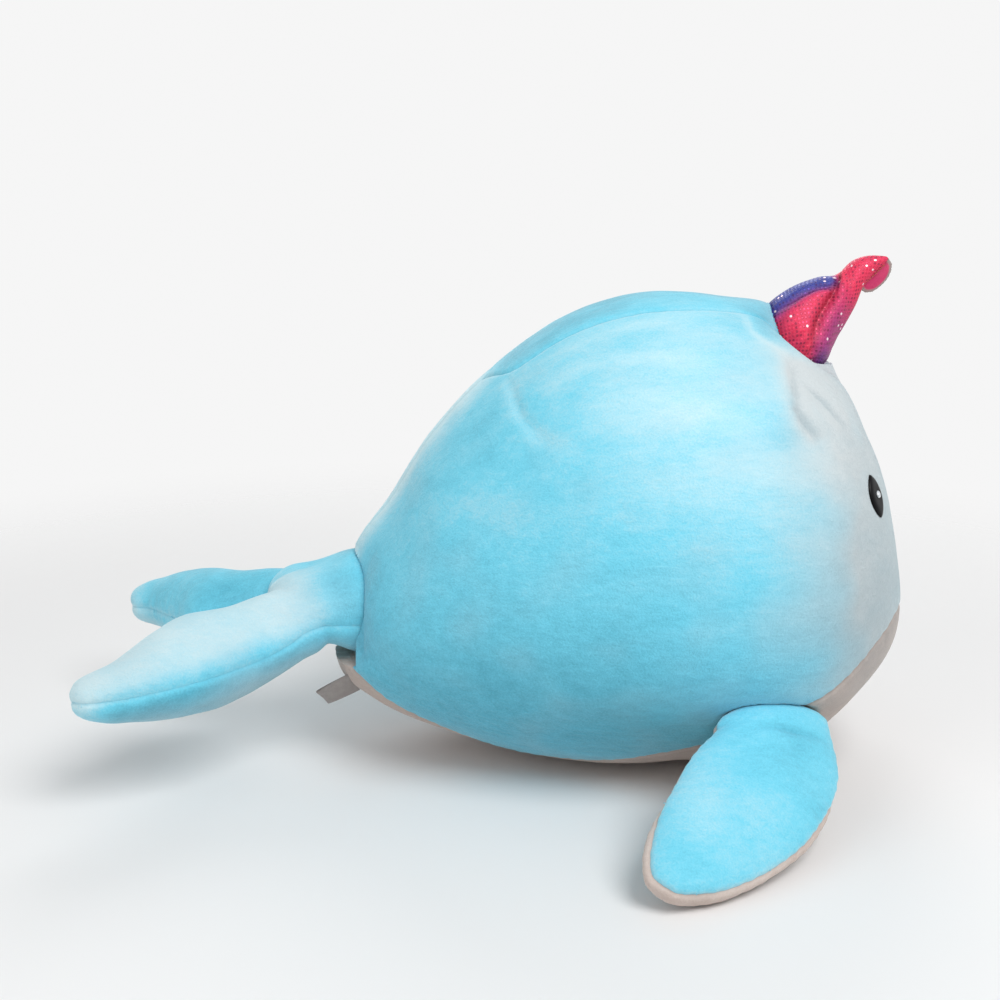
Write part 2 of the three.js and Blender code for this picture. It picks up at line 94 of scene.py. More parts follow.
# %% Outlines
BACK_LINE = [[198, 72], [197.3, 91], [193, 121], [179, 169], [158, 204], [124, 227],
             [80, 233], [40, 225], [2, 201], [-34, 165], [-55, 132], [-72, 111], [-84, 84]]
BELLY_LINE = [[198, 72], [185, 49.5], [166.5, 28], [147, 10.5], [126, -0.5], [85, -0.5],
              [40, -0.5], [-2, 7], [-36, 18.5], [-63, 29.5], [-79, 41.5], [-84.5, 57], [-84, 84]]
PLAN_LINE = [[198, 0], [194, 34], [183, 61], [161, 85], [130, 101], [90, 106], [50, 103],
             [10, 91], [-30, 71], [-58, 48], [-75, 30], [-84, 0]]
WAIST = 0.46
LOWER_FULLNESS = 2.15
BELLY_SEAM = [[215, 88], [192, 88], [183, 86], [173, 78], [153, 60], [125, 45], [86, 27],
              [40, 12], [10, 12], [-15, 18], [-37, 28], [-60, 40], [-78, 56], [-100, 72]]
GUSSET = [[-9, 0], [4, 23], [22, 26], [64, 29], [104, 28], [132, 20], [148, 11], [153, 0]]


def smooth_line(points):
    """A function that reads a smooth line through the points at shares of its length."""
    p = np.array(points, float)
    p = np.vstack([2 * p[0] - p[1], p, 2 * p[-1] - p[-2]])
    share = np.linspace(0, 1, 60, endpoint=False)[:, None]
    drawn = []
    for a, b, c, d in zip(p, p[1:], p[2:], p[3:]):
        before, here, after = (max(np.linalg.norm(q), 1e-6) ** 0.5 for q in (b - a, c - b, d - c))
        leave = ((b - a) / before - (c - a) / (before + here) + (c - b) / here) * here
        reach = ((c - b) / here - (d - b) / (here + after) + (d - c) / after) * here
        cubic = 2 * b - 2 * c + leave + reach
        square = 3 * c - 3 * b - 2 * leave - reach
        drawn.append(b + leave * share + square * share**2 + cubic * share**3)
    line = np.vstack(drawn + [p[-2:-1]])
    steps = np.linalg.norm(np.diff(line, axis=0), axis=1)
    length = np.concatenate([[0], np.cumsum(steps)])
    length /= length[-1]
    return lambda u: np.stack([np.interp(u, length, line[:, k]) for k in (0, 1)], -1)


def size_at(sizes, share):
    """Reads a list of evenly spaced sizes smoothly at shares of its length."""
    s = np.array(sizes, float)
    last = len(s) - 1
    place = np.clip(np.asarray(share, float) * last, 0, last - 1e-9)
    i = place.astype(int)
    t = place - i
    before, a, b, after = s[np.maximum(i - 1, 0)], s[i], s[i + 1], s[np.minimum(i + 2, last)]
    leave, reach = (b - before) / 2, (after - a) / 2
    cubic = 2 * a - 2 * b + leave + reach
    square = 3 * b - 3 * a - 2 * leave - reach
    return cubic * t**3 + square * t**2 + leave * t + a


back_line = smooth_line(BACK_LINE)
belly_line = smooth_line(BELLY_LINE)
plan_points = smooth_line(PLAN_LINE)(np.linspace(0, 1, 1500))[::-1]
belly_seam_points = smooth_line(BELLY_SEAM)(np.linspace(0, 1, 800))[::-1]
gusset_points = smooth_line(GUSSET)(np.linspace(0, 1, 800))


def bulge(value, fullness):
    return np.sign(value) * np.abs(value) ** (2 / fullness)


def on_body(along, angle):
    """Points of the body's skin. along runs from nose to tail, angle from crown to its right."""
    along, angle = np.broadcast_arrays(np.asarray(along, float), np.asarray(angle, float))
    top = back_line(along)
    bottom = belly_line(along)
    waist = bottom + (top - bottom) * WAIST
    fullness = np.where(np.cos(angle) > 0, 2.0, LOWER_FULLNESS)
    up = bulge(np.cos(angle), fullness)
    out = bulge(np.sin(angle), fullness)
    reach = np.where((up > 0)[..., None], top - waist, waist - bottom)
    point = waist + reach * up[..., None]
    half_width = np.interp(waist[..., 0], plan_points[:, 0], plan_points[:, 1])
    return np.stack([point[..., 0], -half_width * out, point[..., 1]], -1)


def outward_at(along, angle):
    """The direction square to the skin, pointing outwards."""
    along = np.clip(along, 0.004, 0.996)
    length = on_body(along + 0.002, angle) - on_body(along - 0.002, angle)
    girth = on_body(along, angle + 0.004) - on_body(along, angle - 0.004)
    normal = np.cross(length, girth)
    return normal / np.maximum(np.linalg.norm(normal, axis=-1, keepdims=True), 1e-9)


print("body from nose", on_body(0, 0).round(1), "to tail", on_body(1, 0).round(1))

# %% [markdown]
# ## Hinges
# Each limb bends where it is sewn on. Its hinge is read from the frame, so that the finer
# piece sits where the solid does, and it turns about the same line.

# %% Hinges
joint_of = {joint["child"]: joint for joint in frame["joints"]}


def hinge_place(body):
    return np.array(joint_of[body]["pos_m"]) / MM - SHIFT


def local_axes(hinge, reach):
    """Columns: along the hinge, away from the body, and square to both."""
    x = np.array(hinge, float) / np.linalg.norm(hinge)
    y = np.array(reach, float) - np.dot(reach, x) * x
    y /= np.linalg.norm(y)
    return np.stack([x, y, np.cross(x, y)], 1)


horn_place = hinge_place("horn")
flipper_place = hinge_place("right_flipper")
tail_place = hinge_place("tail")
fluke_place = hinge_place("right_fluke")
flipper_axes = local_axes([0.954, 0.281, -0.1], [0.165, -0.777, -0.5])
tail_axes = local_axes([0, 1, 0], [-1, 0, 0])
horn_axes = local_axes([0, 1, 0], [0.738, 0, 0.675])
print("horn at", horn_place.round(1), "flipper at", flipper_place.round(1))

# %% [markdown]
# ## Helpers for meshes
# A panel is a grid of points, so it starts from plain arrays. One helper turns such a grid
# into an object, in metres and in the frame's place, and another merges the points where a
# row closes on itself.

# %% Helpers for meshes
# An edge sharper than this stays crisp when a wall is shaded smooth.
EDGE_ANGLE = math.radians(55)


def new_piece(name, points, faces):
    """An object from points in millimetres."""
    mesh = bpy.data.meshes.new(name)
    places = (np.asarray(points, float).reshape(-1, 3) + SHIFT) * MM
    mesh.from_pydata(places.tolist(), [], [list(map(int, face)) for face in faces])
    piece = bpy.data.objects.new(name, mesh)
    bpy.context.scene.collection.objects.link(piece)
    return piece


def grid_faces(rows, columns, closed=False):
    """Quads of a grid whose rows run from nose to tail."""
    across = columns if closed else columns - 1
    at = np.arange(rows * columns).reshape(rows, columns)
    a, b = at[:-1, :across], np.roll(at, -1, 1)[:-1, :across]
    c, d = np.roll(at, -1, 1)[1:, :across], at[1:, :across]
    return np.stack([a, b, c, d], -1).reshape(-1, 4)


def activate(piece):
    bpy.ops.object.select_all(action="DESELECT")
    piece.select_set(True)
    bpy.context.view_layer.objects.active = piece


def merge_doubles(piece, distance=0.05):
    """Joins points that lie on each other."""
    activate(piece)
    bpy.ops.object.mode_set(mode="EDIT")
    bpy.ops.mesh.select_all(action="SELECT")
    bpy.ops.mesh.remove_doubles(threshold=distance * MM)
    bpy.ops.object.mode_set(mode="OBJECT")


def face_outwards(piece):
    """Turns the faces of a closed piece outwards."""
    activate(piece)
    bpy.ops.object.mode_set(mode="EDIT")
    bpy.ops.mesh.select_all(action="SELECT")
    bpy.ops.mesh.normals_make_consistent(inside=False)
    bpy.ops.object.mode_set(mode="OBJECT")


def give_thickness(piece, thickness):
    """A wall on the inner side of a panel, with the panel's own surface left where it is."""
    activate(piece)
    wall = piece.modifiers.new("wall", "SOLIDIFY")
    wall.thickness = thickness * MM
    wall.offset = -1
    wall.use_even_offset = False
    bpy.ops.object.modifier_apply(modifier=wall.name)
    bpy.ops.object.shade_smooth_by_angle(angle=EDGE_ANGLE)


def raw_points(piece):
    """The piece's points as the mesh holds them."""
    points = np.empty(len(piece.data.vertices) * 3)
    piece.data.vertices.foreach_get("co", points)
    return points.reshape(-1, 3)


def places_of(piece):
    """The piece's points, in millimetres of the outline."""
    return raw_points(piece) / MM - SHIFT


def put_places(piece, places):
    piece.data.vertices.foreach_set("co", ((places + SHIFT) * MM).ravel())
    piece.data.update()


def paint(piece, name, values):
    """A value for each point that a material can read."""
    attribute = piece.data.attributes.new(name, "FLOAT", "POINT")
    attribute.data.foreach_set("value", np.asarray(values, np.float32))


def unroll(piece, name, flat):
    """A UV map that gives each point its place on the flat cloth."""
    layer = piece.data.uv_layers.new(name=name).data
    for loop in piece.data.loops:
        layer[loop.index].uv = flat[loop.vertex_index]


def mirrored(piece, name):
    """A copy for the toy's left side, with its own mesh."""
    copy = piece.copy()
    copy.data = piece.data.copy()
    copy.name = copy.data.name = name
    bpy.context.scene.collection.objects.link(copy)
    copy.data.transform(Matrix.Scale(-1, 4, (0, 1, 0)))
    copy.data.flip_normals()
    return copy


# %% [markdown]
# ## Humps and soft steps
# Cloth has no sharp change in it. So every fold, streak and bulge is drawn with three short
# curves: a hump that fades on both sides, a step that rises softly and one that falls.

# %% Humps and soft steps
def hump(value, middle, width):
    return np.exp(-(((value - middle) / width) ** 2))


def rising(value, middle, width):
    return 1 / (1 + np.exp(-(value - middle) / width))


def falling(value, middle, width):
    return 1 / (1 + np.exp((value - middle) / width))


def smooth_share(value):
    """From 0 to 1 with level ends, for a value that runs past both."""
    share = np.clip(value, 0, 1)
    return share * share * (3 - 2 * share)


# %% [markdown]
# ## Seams
# Two panels are sewn face to face and turned, so the stuffing pulls each seam into a narrow
# valley. Its thread gathers the plush into short puckers across it. Both are moves of the
# skin along its normal, and they depend only on how far a point lies from the seam and how
# far along it. That is why every panel can be shaped by the same functions.

# %% Seams
SEAM_DEPTH = 1.15
SEAM_ROUNDING = 3.6
PUCKER_HEIGHT = 0.22
PUCKER_REACH = 8.0
SEAM_SHADE_REACH = 2.0


class Seam:
    """A line in space that answers how far points lie from it, and how far along."""

    def __init__(self, points, depth=SEAM_DEPTH, pucker=PUCKER_HEIGHT, rounding=SEAM_ROUNDING):
        self.points = np.asarray(points, float)
        steps = np.linalg.norm(np.diff(self.points, axis=0), axis=1)
        self.arc = np.concatenate([[0], np.cumsum(steps)])
        self.depth, self.pucker, self.rounding = depth, pucker, rounding
        self.tree = KDTree(len(self.points))
        for i, point in enumerate(self.points):
            self.tree.insert(point, i)
        self.tree.balance()

    def measure(self, places):
        nearest = np.array([self.tree.find(p)[1] for p in places])
        distance = np.full(len(places), 1e9)
        along = np.zeros(len(places))
        for side in (-1, 0):
            i = np.clip(nearest + side, 0, len(self.points) - 2)
            a, b = self.points[i], self.points[i + 1]
            length = np.maximum(((b - a) ** 2).sum(1), 1e-12)
            t = np.clip(((places - a) * (b - a)).sum(1) / length, 0, 1)
            gap = np.linalg.norm(places - a - (b - a) * t[:, None], axis=1)
            closer = gap < distance
            distance[closer] = gap[closer]
            along[closer] = (self.arc[i] + np.sqrt(length) * t)[closer]
        return distance, along


def ripple(along, seed=0.0):
    """Uneven waves along a seam, from -1 to 1."""
    return (0.6 * np.sin(2 * np.pi * along / 6.3 + 2.1 * np.sin(along / 17 + seed))
            + 0.4 * np.sin(2 * np.pi * along / 9.7 + seed + 1.3 * np.sin(along / 31)))


def seam_depth(places, seams):
    """How far the seams pull each point in, and how near it is to one, from 0 to 1."""
    depth = np.zeros(len(places))
    near = np.zeros(len(places))
    for number, seam in enumerate(seams):
        distance, along = seam.measure(places)
        t = np.clip(1 - distance / seam.rounding, 0, 1)
        depth = np.maximum(depth, seam.depth * t**2)
        depth += seam.pucker * hump(distance, 0, PUCKER_REACH) * (1 + ripple(along, number))
        near = np.maximum(near, hump(distance, 0, SEAM_SHADE_REACH))
    return depth, near


def wave(places, size, seed=0.0):
    """Smooth unevenness over a size in millimetres, about -1 to 1."""
    return np.array([noise.noise(Vector(p) / size + Vector((seed, 2 * seed, 0))) for p in places]) * 2


# %% [markdown]
# ## Where the body's panels end
# The belly seam is given from the side and the crown gusset from above, as the pattern
# shows them. For each step from nose to tail, the angle is sought at which the skin meets
# the seam. The side panels run between the two angles and the belly panel closes below.

# %% Panel edges
ANGLES = np.linspace(0, np.pi, 721)


def panel_edges(along):
    """For each share along: the angle of the gusset's edge and that of the belly seam."""
    points = on_body(np.asarray(along)[:, None], ANGLES[None, :])
    gusset = np.interp(points[..., 0], gusset_points[:, 0], gusset_points[:, 1], left=0, right=0)
    seam = np.interp(points[..., 0], belly_seam_points[:, 0], belly_seam_points[:, 1])
    past_gusset = np.abs(points[..., 1]) - gusset
    above_seam = points[..., 2] - seam
    upper, lower = [], []
    for outside, above in zip(past_gusset, above_seam):
        i = int(np.argmax(outside > 0)) if outside[1] < 0 else 0
        share = 0 if i == 0 else outside[i] / (outside[i] - outside[i - 1])
        upper.append(ANGLES[i] - share * (ANGLES[1] - ANGLES[0]))
        if above[0] <= 0:
            lower.append(0.0)
        elif above.min() > 0:
            lower.append(np.pi)
        else:
            j = int(np.argmax(above <= 0))
            share = above[j] / (above[j] - above[j - 1])
            lower.append(ANGLES[j] - share * (ANGLES[1] - ANGLES[0]))
    return np.array(upper), np.array(lower)


def share_where(condition, low, high):
    """The share along the body at which a condition turns true, by halving."""
    for _ in range(40):
        middle = (low + high) / 2
        low, high = (low, middle) if condition(middle) else (middle, high)
    return high


nose_share = share_where(lambda u: panel_edges([u])[1][0] > 0, 0.0, 0.2)
gusset_rear = share_where(lambda u: on_body(u, 0)[0] < GUSSET[0][0], 0.3, 0.9)
gusset_front = share_where(lambda u: on_body(u, 0)[0] < GUSSET[-1][0], 0.05, 0.6)
seam_end = share_where(lambda u: panel_edges([u])[1][0] >= np.pi, 0.6, 1.0)
print("seams meet at the nose", round(nose_share, 4), "and below the tail", round(seam_end, 4))

# %% [markdown]
# ## Roots of the limbs
# A limb's root is round about its hinge, like a shoulder. Sewn on tight, it presses a
# hollow into the body that is just large enough to turn in. The skin is pushed along its
# normal to the far side of the root, and it dips a little around it.

# %% Hollows for the roots
ROOT_GAP = 0.35
# How near to the rim of a hollow, as a share of the root's size, points are moved onto it.
RIM_REACH = 0.045
FLIPPER_ROOT = (30, 13)
FLUKE_ROOT = (16, 16)
TAIL_ROOT_HALF, TAIL_ROOT_RADIUS = 30, 26
HORN_ROOT = (24.1, 21.5)
HORN_DIP, HORN_DIP_REACH = 8.5, 12.5


class Root:
    """A limb's round root, which the body's skin makes room for."""

    def __init__(self, place, axes, half, radius, dip=1.2, dip_reach=4.5, aside=False):
        self.place, self.axes = place, axes
        self.size = np.array([half, radius, radius]) + ROOT_GAP
        self.dip, self.dip_reach, self.aside = dip, dip_reach, aside

    def sag(self, places):
        """How far the root's seam draws the skin in round it, or only beside it."""
        local = (places - self.place) @ self.axes / self.size
        outside = np.maximum(np.linalg.norm(local, axis=1) - 1, 0) * self.size.min()
        level = np.maximum(local[:, 0] ** 2 + local[:, 2] ** 2, 1e-9)
        share = local[:, 0] ** 2 / level if self.aside else 1
        return self.dip * share * hump(outside, 0, self.dip_reach)

    def snap(self, places):
        """Moves the points next to the hollow's rim onto it, so that the rim is even."""
        local = (places - self.place) @ self.axes / self.size
        level = np.hypot(local[:, 0], local[:, 2])
        off = np.abs(np.linalg.norm(local, axis=1) - 1) < RIM_REACH
        fit = np.sqrt(np.clip(1.0005 - local[:, 1] ** 2, 0.01, None)) / np.maximum(level, 1e-6)
        local[off, 0] *= fit[off]
        local[off, 2] *= fit[off]
        return self.place + (local * self.size) @ self.axes.T

    def press(self, places, normals):
        """Pushes the skin along its normals to the far side of the root."""
        places = places - normals * self.sag(places)[:, None]
        places = self.snap(places) if self.aside else places
        local = (places - self.place) @ self.axes / self.size
        inward = -(normals @ self.axes) / self.size
        a = (inward**2).sum(1)
        b = 2 * (local * inward).sum(1)
        c = (local**2).sum(1) - 1
        root = np.sqrt(np.maximum(b**2 - 4 * a * c, 0))
        far = np.where(c < 0, (-b + root) / (2 * a), 0)
        return places - normals * far[:, None]


flipper_root = Root(flipper_place, flipper_axes, *FLIPPER_ROOT)
left_flipper_root = Root(flipper_place * [1, -1, 1], flipper_axes * [[1], [-1], [1]], *FLIPPER_ROOT)
horn_root = Root(horn_place, horn_axes, *HORN_ROOT, HORN_DIP, HORN_DIP_REACH, aside=True)
# The belly's lip below the tail stands free of the tail's root.
LIP_TOP = tail_place[2] - 25.5
LIP_FADE = 9
TAIL_ROLL, TAIL_ROLL_DEPTH = 17.0, 5.5


def turn_in_at_tail(places):
    """How far the skin rolls in over the seam with the tail, less so on the back."""
    close = np.clip(1 - (places[:, 0] - tail_place[0]) / TAIL_ROLL, 0, 1)
    aside = np.clip(np.abs(places[:, 1]) / TAIL_ROOT_RADIUS, 0.05, 1)
    raised = np.clip((places[:, 2] - LIP_TOP) / LIP_FADE, 0, 1)
    return TAIL_ROLL_DEPTH * close**2.2 * aside * raised


def tuck_behind_tail(places, clear=ROOT_GAP):
    """Ends the body at the tail's hinge: it turns in there and cups the tail's root."""
    half, radius = TAIL_ROOT_HALF + clear, TAIL_ROOT_RADIUS + clear
    across = (places[:, 1] / half) ** 2 + ((places[:, 2] - tail_place[2]) / radius) ** 2
    cup = tail_place[0] + clear - ROOT_GAP + radius * np.sqrt(np.clip(1 - across, 0, 1))
    above_lip = places[:, 2] > LIP_TOP
    moved = places.copy()
    moved[above_lip, 0] = np.maximum(places[above_lip, 0], cup[above_lip])
    return moved


# %% [markdown]
# ## The body's own creases
# A few marks aren't seams between panels: the dart that shapes the rump, a dart below the
# horn, small folds that the horn's seam pulls into the brow, and one round press mark on
# the right flank. They are drawn as short lines on the skin, each with a depth and a width.

# %% Creases of the body
REAR_DART = [[0.8, -22.4, 196.5], [3.0, -38, 191], [5.4, -53.1, 182.6], [10, -62, 178],
             [15.2, -69.1, 174], [25.5, -76.5, 172.1], [33, -80, 171.5]]
FRONT_DART = [[123.7, -47.2, 212.7], [128.6, -54.1, 205.7], [132, -60, 199],
              [136.8, -63.1, 193.3]]
BROW_FOLDS = [
    [[132.1, -47, 208], [129.6, -61.5, 199.5], [127.9, -69.2, 192.6], [126.1, -75.6, 186]],
    [[126.4, -71, 190], [129.7, -75.8, 183.5], [132.7, -76.9, 179.9], [137.5, -78.2, 174]],
    [[131, -54, 203], [137.2, -61.4, 194.8], [141.8, -62.3, 190.5], [148.4, -63.5, 183.1],
     [154.1, -64.1, 175.9]],
]
BROW_FOLD_DEPTH, BROW_FOLD_WIDTH = 2.3, 3.2
COLLAR = [[110.4, -25, 227.2], [113, -31, 225], [112.9, -41.5, 220], [117.6, -47.7, 215.1],
          [123.9, -49.5, 211.7], [132, -51, 207]]
# Where the skin is fuller or slacker than its outline: the middle, the size and the height.
FULLER = [([129, 0, 224], [13, 13, 16], 3.4), ([161, 0, 203], [8, 20, 12], 2.6),
          ([178, 0, 176], [18, 80, 27], -2.8)]
PALE_STREAKS = [
    ([[20, -36, 206], [52.8, -39.5, 220.3], [92, -41, 224]], 4.0),
    ([[6, -45.8, 190.6], [41.5, -55.5, 206.4], [90, -60, 211]], 5.0),
    ([[30, -68, 185], [60, -78, 191], [96, -84, 190]], 6.5),
]
FLANK_MARK = [54.5, -97, 150.5]
FLANK_MARK_RADIUS, FLANK_MARK_WIDTH = 10.5, 1.7


def smooth_points(line, count=80):
    """Points of a smooth line in space."""
    line = np.array(line, float)
    share = np.linspace(0, 1, count)
    return np.stack([size_at(line[:, k], share) for k in range(3)], 1)


def crease_depth(places, line, depth, width):
    """A soft valley along a short line and its mirror image, fading towards both ends."""
    seam = Seam(smooth_points(line))
    total = np.zeros(len(places))
    for side in (1, -1):
        distance, along = seam.measure(places * [1, side, 1])
        taper = np.sin(np.pi * np.clip(along / seam.arc[-1], 0.0, 1.0)) ** 0.6
        total += depth * taper * hump(distance, 0, width)
    return total


def flank_mark_depth(places):
    """A shallow ring, deeper below, round a slight rise."""
    off = np.linalg.norm(places - FLANK_MARK, axis=1)
    ring = hump(off, FLANK_MARK_RADIUS, FLANK_MARK_WIDTH)
    below = falling(places[:, 2], FLANK_MARK[2], 4)
    return (0.2 + 0.45 * below) * ring - 0.3 * hump(off, 0, 7.0)


# %% [markdown]
# ## Brushed pile and painted light
# Short plush looks pale where its pile is brushed towards the eye and deep where it is brushed away.
# On the toy this draws soft streaks beside the crown and a greyish, paler face. Each point gets a
# value for it, which the material turns into colour. The same value also holds painted light: painted
# highlight on the crown, the upper flank, the rump's midline and beside the seams, and painted shade
# on the belly and the lower face.

# %% Brushed pile and painted light
ALL_ACROSS = 1e4
# Where the pile leans towards the eye, or away from it below 0: the middle, the size and how far. Some
# spots are painted light: the pale ones on the crown and upper flank are painted highlight, and the
# dark ones on the belly and the lower face are painted shade.
LEANS_AND_PAINTED_LIGHT = [([86, 0, 190], [66, ALL_ACROSS, 40], 0.56), ([108, 0, 146], [34, ALL_ACROSS, 28], 0.34),
         ([172, 0, 100], [40, ALL_ACROSS, 46], -0.55), ([146, 0, 200], [24, ALL_ACROSS, 20], 0.45),
         ([10, 0, 215], [70, 22, 30], -0.30), ([0, 0, 34], [130, ALL_ACROSS, 52], -0.66),
         ([120, -84, 177], [11, 12, 9], -0.45), ([124, -30, 219], [13, 16, 14], -0.60)]
GREY_FREE = ([122, -22, 224], [17, 30, 15])


def soft_spot(places, centre, size):
    off = (places - np.array(centre, float)) / np.array(size, float)
    return np.exp(-(off**2).sum(1))


def spots_at(places, spots):
    """The sum of soft spots, each with its middle, its size and its height."""
    return sum(height * soft_spot(places, middle, size) for middle, size, height in spots)


def pile_lean_and_painted_light(places, near):
    """Paleness from -1, deep, to 1, pale: the pile's lean, with painted highlight and painted shade in
    it.
    """
    x, y, z = places.T
    strokes = wave(places * [0.3, 1, 1], 9, 3.0) * 0.08 + wave(places * [0.6, 1, 1], 30, 1.0) * 0.10
    pale = strokes * (0.5 + 0.8 * rising(z, 140, 20)) + spots_at(places, LEANS_AND_PAINTED_LIGHT)
    pale += 0.60 * crease_depth(places, COLLAR, 1.0, 2.6)
    for line, width in PALE_STREAKS:
        pale += 0.30 * crease_depth(places, line, 1.0, width)
    # Painted highlight: a pale line along the rump's midline, and paler plush beside every seam.
    rump = hump(y, 0, 14) * falling(x, -4, 4) * (z > 95)
    return np.clip(pale + 1.20 * rump + 0.30 * near, -1, 1)


def greyness(places):
    """How far the face is turned grey by its pile, from 0 to 1."""
    x, z = places[:, 0], places[:, 2]
    face = rising(x + 0.24 * (z - 140), 138, 9)
    cheek = rising(x, 104, 14) * falling(z, 170, 22)
    grey_share = 0.92 * face + 0.30 * cheek + 0.10 * wave(places, 22, 9.0)
    return np.clip(grey_share * (1 - 0.95 * soft_spot(places, *GREY_FREE)), 0, 1)


# %% [markdown]
# ## Lines where the body is sewn
# The seams are sampled on the plain skin first. The belly seam runs from the nose to the
# label on both sides. The gusset has an edge on each side, and the two side panels meet on
# the midline in front of the horn and behind the gusset.

# %% The body's seams
belly_shares = np.linspace(nose_share, seam_end, 1100)
belly_angles = panel_edges(belly_shares)[1]
gusset_shares = np.linspace(gusset_front, gusset_rear, 500)
gusset_angles = panel_edges(gusset_shares)[0]
brow_shares = np.linspace(nose_share, gusset_front, 300)
rump_shares = np.linspace(gusset_rear, 1, 500)
keel_shares = np.linspace(seam_end, 1, 60)
right_belly_seam = Seam(on_body(belly_shares, belly_angles))
left_belly_seam = Seam(on_body(belly_shares, -belly_angles))
right_gusset_seam = Seam(on_body(gusset_shares, gusset_angles), pucker=0.1, depth=0.9)
left_gusset_seam = Seam(on_body(gusset_shares, -gusset_angles), pucker=0.1, depth=0.9)
brow_seam = Seam(on_body(brow_shares, 0), pucker=0.1, depth=0.8)
rump_seam = Seam(on_body(rump_shares, 0), pucker=0.12, depth=0.9)
keel_seam = Seam(on_body(keel_shares, np.pi), pucker=0.1)
body_seams = [right_belly_seam, left_belly_seam, right_gusset_seam, left_gusset_seam,
              brow_seam, rump_seam, keel_seam]
print("belly seam", round(right_belly_seam.arc[-1]), "mm, gusset seam",
      round(right_gusset_seam.arc[-1]), "mm")

PANEL_WALL = 1.8


def fold_depths(places):
    """The darts and the brow folds, and how near each point lies to them."""
    darts = crease_depth(places, REAR_DART, 1.3, 2.1) + crease_depth(places, FRONT_DART, 1.0, 2.0)
    beside = crease_depth(places, REAR_DART, 1.0, 4.2) + crease_depth(places, FRONT_DART, 1.0, 4.2)
    folds = sum(crease_depth(places, line, 1.0, BROW_FOLD_WIDTH) for line in BROW_FOLDS)
    beside_folds = sum(crease_depth(places, line, 1.0, 7.0) for line in BROW_FOLDS)
    return darts, beside, folds, beside_folds


def shape_skin(along, angle):
    """The finished skin at each share and angle, with its paint."""
    places = on_body(along, angle).reshape(-1, 3)
    normals = outward_at(along, angle).reshape(-1, 3)
    depth, near = seam_depth(places, body_seams)
    mark = flank_mark_depth(places)
    darts, beside, folds, beside_folds = fold_depths(places)
    rise = 0.5 * wave(places, 46, 2.0) + 0.12 * wave(places, 15, 6.0) + spots_at(places, FULLER)
    rise += 0.9 * beside_folds - BROW_FOLD_DEPTH * folds
    rolled = turn_in_at_tail(places)
    shaped = places + normals * (rise - depth - mark - darts - rolled)[:, None]
    for root in (flipper_root, left_flipper_root, horn_root):
        shaped = root.press(shaped, normals)
    shaped = tuck_behind_tail(shaped)
    shaped[:, 2] = np.maximum(shaped[:, 2], 0)
    # Painted light: pale beside the darts and the brow folds is painted highlight, dark in the folds
    # is painted shade, the skin rolled in at the tail is painted a little darker as shade, and the
    # folds' sides are greyed paler as highlight.
    pale = pile_lean_and_painted_light(places, near) + 0.45 * np.clip(beside - 0.3 * darts, 0, 1) + 0.15 * mark
    pale -= 0.04 * rolled + 0.75 * np.clip(folds, 0, 1) - 0.45 * np.clip(beside_folds - folds, 0, 1)
    grey = np.clip(greyness(places) + 0.5 * np.clip(beside_folds, 0, 1), 0, 1)
    return shaped, {"pale": pale, "near_seam": near, "grey": grey}


def finish_panel(piece, paints):
    """Paints a panel, closes its points and gives it its wall."""
    for name, values in paints.items():
        paint(piece, name, values)
    merge_doubles(piece)
    give_thickness(piece, PANEL_WALL)
    print(piece.name, "has", len(piece.data.polygons), "faces")
    return piece


# %% [markdown]
# ## Side panels
# Each side panel is one grid from the nose to the tail. Its columns crowd towards the
# seams, where the plush turns in sharply, and spread out over the plain flank. The left
# panel is its own grid, because the press mark is only on the right.

# %% Side panels
SIDE_ROWS = 250
SIDE_COLUMNS = 118


def crowded(count, crowd=0.72):
    """Shares from 0 to 1 that lie close together at both ends."""
    even = np.linspace(0, 1, count)
    return even - crowd * np.sin(2 * np.pi * even) / (2 * np.pi)


def side_panel(name, side):
    rows = nose_share + (1 - nose_share) * crowded(SIDE_ROWS, 0.35)
    upper, lower = panel_edges(rows)
    lower[0] = upper[0]
    across = crowded(SIDE_COLUMNS)
    angle = side * (upper[:, None] + (lower - upper)[:, None] * across[None, :])
    along = np.repeat(rows[:, None], SIDE_COLUMNS, 1)
    skin, paints = shape_skin(along, angle)
    faces = grid_faces(SIDE_ROWS, SIDE_COLUMNS)
    faces = faces[:, ::-1] if side > 0 else faces
    return finish_panel(new_piece(name, skin, faces), paints)


right_side = side_panel("right_side_plush", 1)
left_side = side_panel("left_side_plush", -1)

# %% [markdown]
# ## Crown gusset
# The gusset is the long leaf of plush over the crown. It widens the toy's back and ends in
# a point behind the horn's foot, and its pile is brushed the other way, so it looks deeper.

# %% Crown gusset
GUSSET_ROWS = 150
GUSSET_COLUMNS = 56
GUSSET_DEEPER = 0.35


def gusset_panel():
    rows = gusset_front + (gusset_rear - gusset_front) * crowded(GUSSET_ROWS, 0.5)
    upper = panel_edges(rows)[0]
    angle = upper[:, None] * (2 * crowded(GUSSET_COLUMNS) - 1)[None, :]
    along = np.repeat(rows[:, None], GUSSET_COLUMNS, 1)
    skin, paints = shape_skin(along, angle)
    paints["pale"] = paints["pale"] - GUSSET_DEEPER
    faces = grid_faces(GUSSET_ROWS, GUSSET_COLUMNS)[:, ::-1]
    return finish_panel(new_piece("crown_gusset_plush", skin, faces), paints)


gusset = gusset_panel()

# %% [markdown]
# ## Belly panel
# The belly is one cream panel from the chin to the label. In front it runs right round the
# nose, below the seam, so its first rows are whole rings.

# %% Belly panel
BELLY_ROWS = 210
BELLY_COLUMNS = 132


